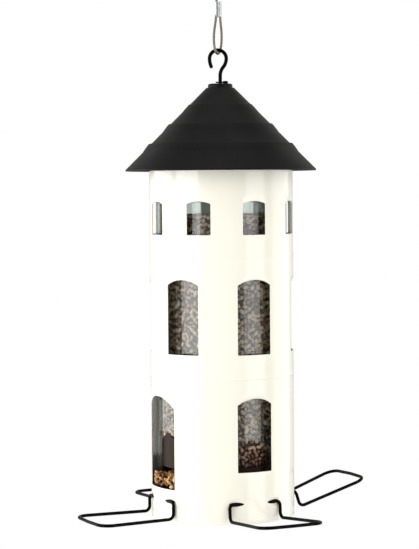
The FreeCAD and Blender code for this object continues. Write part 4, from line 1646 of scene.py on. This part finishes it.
@dataclass(frozen=True)
class Softbox:
    """A large plain light: bearing from the camera's side, height, distance, size and radiance."""

    name: str
    bearing: float
    height: float
    distance: float
    width: float
    tall: float
    radiance: float

    def place(self, facing: float, target: Vector) -> None:
        """Adds the light.

        Args:
            facing: Bearing of the camera in degrees, as the other bearings' zero.
            target: What the light faces.
        """
        turn = math.radians(facing + self.bearing)
        data = bpy.data.lights.new(self.name, "AREA")
        data.shape = "RECTANGLE"
        data.size, data.size_y = self.width, self.tall
        data.energy = self.radiance * math.pi * self.width * self.tall
        lamp = add_object(self.name, data)
        lamp.location = (self.distance * math.sin(turn), -self.distance * math.cos(turn), self.height)
        lamp.rotation_euler = (target - lamp.location).to_track_quat("-Z", "Y").to_euler()


@dataclass
class Studio:
    """Pale floor, soft light and the camera."""

    facing: float = -27.0
    distance: float = 1.455
    eye: float = 0.25
    aim_height: float = 0.1844
    aim_aside: float = -0.0092
    roll: float = -0.4
    lens: float = 124.4
    floor: float = -1.3
    floor_radius: float = 16.0
    lit_height: float = 0.19
    room_light: float = 0.62
    lights: tuple[Softbox, ...] = (
        Softbox("key_left", -55.0, 0.3, 1.7, 1.17, 1.8, 3.3),
        Softbox("wall_left", -108.0, 0.35, 1.9, 1.6, 2.0, 2.2),
        Softbox("strip_right", 55.5, 0.35, 1.8, 1.0, 2.2, 1.9),
        Softbox("wall_right", 112.0, 0.35, 1.9, 1.6, 2.0, 1.2),
        Softbox("overhead", 10.0, 2.0, 0.3, 1.6, 1.6, 1.0),
    )

    def build(self, paper: Material) -> None:
        """Builds the floor, the world, the lights and the camera.

        Args:
            paper: Material of the floor.
        """
        reach, sides = self.floor_radius / MM, 64
        turns = [2 * math.pi * i / sides for i in range(sides)]
        points = [(math.cos(t) * reach, math.sin(t) * reach, self.floor / MM) for t in turns]
        ground = new_piece("studio_floor", points, [tuple(range(sides))], paper)
        self._world()
        for light in self.lights:
            light.place(self.facing, Vector((0, 0, self.lit_height)))
        self._camera()
        bpy.context.scene.view_settings.view_transform = "Standard"

    def _world(self) -> None:
        """A soft grey-white room, which is plain white where it shows behind the object."""
        world = bpy.data.worlds.new("studio_room")
        world.use_nodes = True
        tree = world.node_tree
        room = tree.nodes["Background"]
        feed(tree, room, {"Color": linear("#F6F4F0"), "Strength": self.room_light})
        shown_white(tree, room.outputs[0], "ShaderNodeBackground", "World Output")
        bpy.context.scene.world = world

    def _camera(self) -> None:
        """Stands the camera at eye level, aimed a little down."""
        turn = math.radians(self.facing)
        right = Vector((math.cos(turn), math.sin(turn), 0))
        data = bpy.data.cameras.new("studio_camera")
        data.lens, data.sensor_width = self.lens, 36.0
        data.clip_start, data.clip_end = 0.05, 60.0
        camera = add_object("studio_camera", data)
        camera.location = (self.distance * math.sin(turn), -self.distance * math.cos(turn), self.eye)
        aim = right * self.aim_aside + Vector((0, 0, self.aim_height))
        look = (aim - camera.location).to_track_quat("-Z", "Y").to_matrix().to_4x4()
        turned = look @ Matrix.Rotation(math.radians(self.roll), 4, "Z")
        camera.rotation_euler = turned.to_euler()
        bpy.context.scene.camera = camera


# ---------------------------------------------------------------- the whole feeder


def dress(nodes: dict[str, Object], finishes: dict[str, tuple[str, ...]], made: dict[str, Any]) -> None:
    """Gives the CAD nodes that keep their own shape their materials.

    Args:
        nodes: The CAD nodes.
        finishes: The nodes that take each finish.
        made: The built materials.
    """
    for finish, names in finishes.items():
        for name in names:
            mesh = nodes[name].data
            mesh.materials.clear()
            mesh.materials.append(made[finish])
            log.info("%s keeps its shape, in %s", name, finish)


def main(frame: dict[str, Any]) -> None:
    """Builds and dresses the feeder, then lights it.
    """
    made = {
        "enamel": StoveEnamel().build(),
        "powder": PowderCoat().build(),
        "wire": DippedWire().build(),
        "acrylic": ClearAcrylic().build(),
        "plastic": MouldedPolypropylene().build(),
        "screw": BareMetal.of(MetalKind.ZINC_SCREW).build(),
        "strip": BareMetal.of(MetalKind.GALVANISED).build(),
        "rope": BareMetal.of(MetalKind.STAINLESS_ROPE).build(),
        "sleeve": BareMetal.of(MetalKind.PRESSED_ALLOY).build(),
        "kernel": SeedHull().build(),
        "loose": SeedHull(
            "loose golden seed", "#A87B45", ("#3A2410", "#7A5526", "#B07F40", "#D8A967", "#F3D6A6"), "#F2E2C8"
        ).build(),
        "packed": PackedSeed().build(),
        "paper": StudioPaper().build(),
    }
    Studio().build(made["paper"])
    Rope().build(made["rope"], made["sleeve"])
    Tower().build(made["enamel"])
    SeedTube().build(made["acrylic"])
    Roof().build(made["powder"])
    Hook().build(made["wire"])
    for side, raised in ((Side.FRONT, 4.5), (Side.LEFT, 0.0), (Side.RIGHT, 18.0), (Side.REAR, 0.0)):
        Perch(side, raised).build(made["wire"])
    Seed().build(made["kernel"], made["loose"], made["packed"])
    dress(
        frame["nodes"],
        {
            "enamel": ("floor_pan",),
            "powder": ("roof_seat_ring", "roof_cap"),
            "wire": ("cap_pin",),
            "plastic": ("feed_tray", "tube_foot_ring", "seed_ramp", "tube_collar"),
            "screw": ("base_screws", "stem_nut"),
            "strip": ("hanger_bar", "bar_rivets", "stem_spacer"),
        },
        made,
    )


if __name__ == "__main__":
    logging.basicConfig(level=logging.INFO, format="%(message)s")
    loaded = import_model()
    main(loaded)
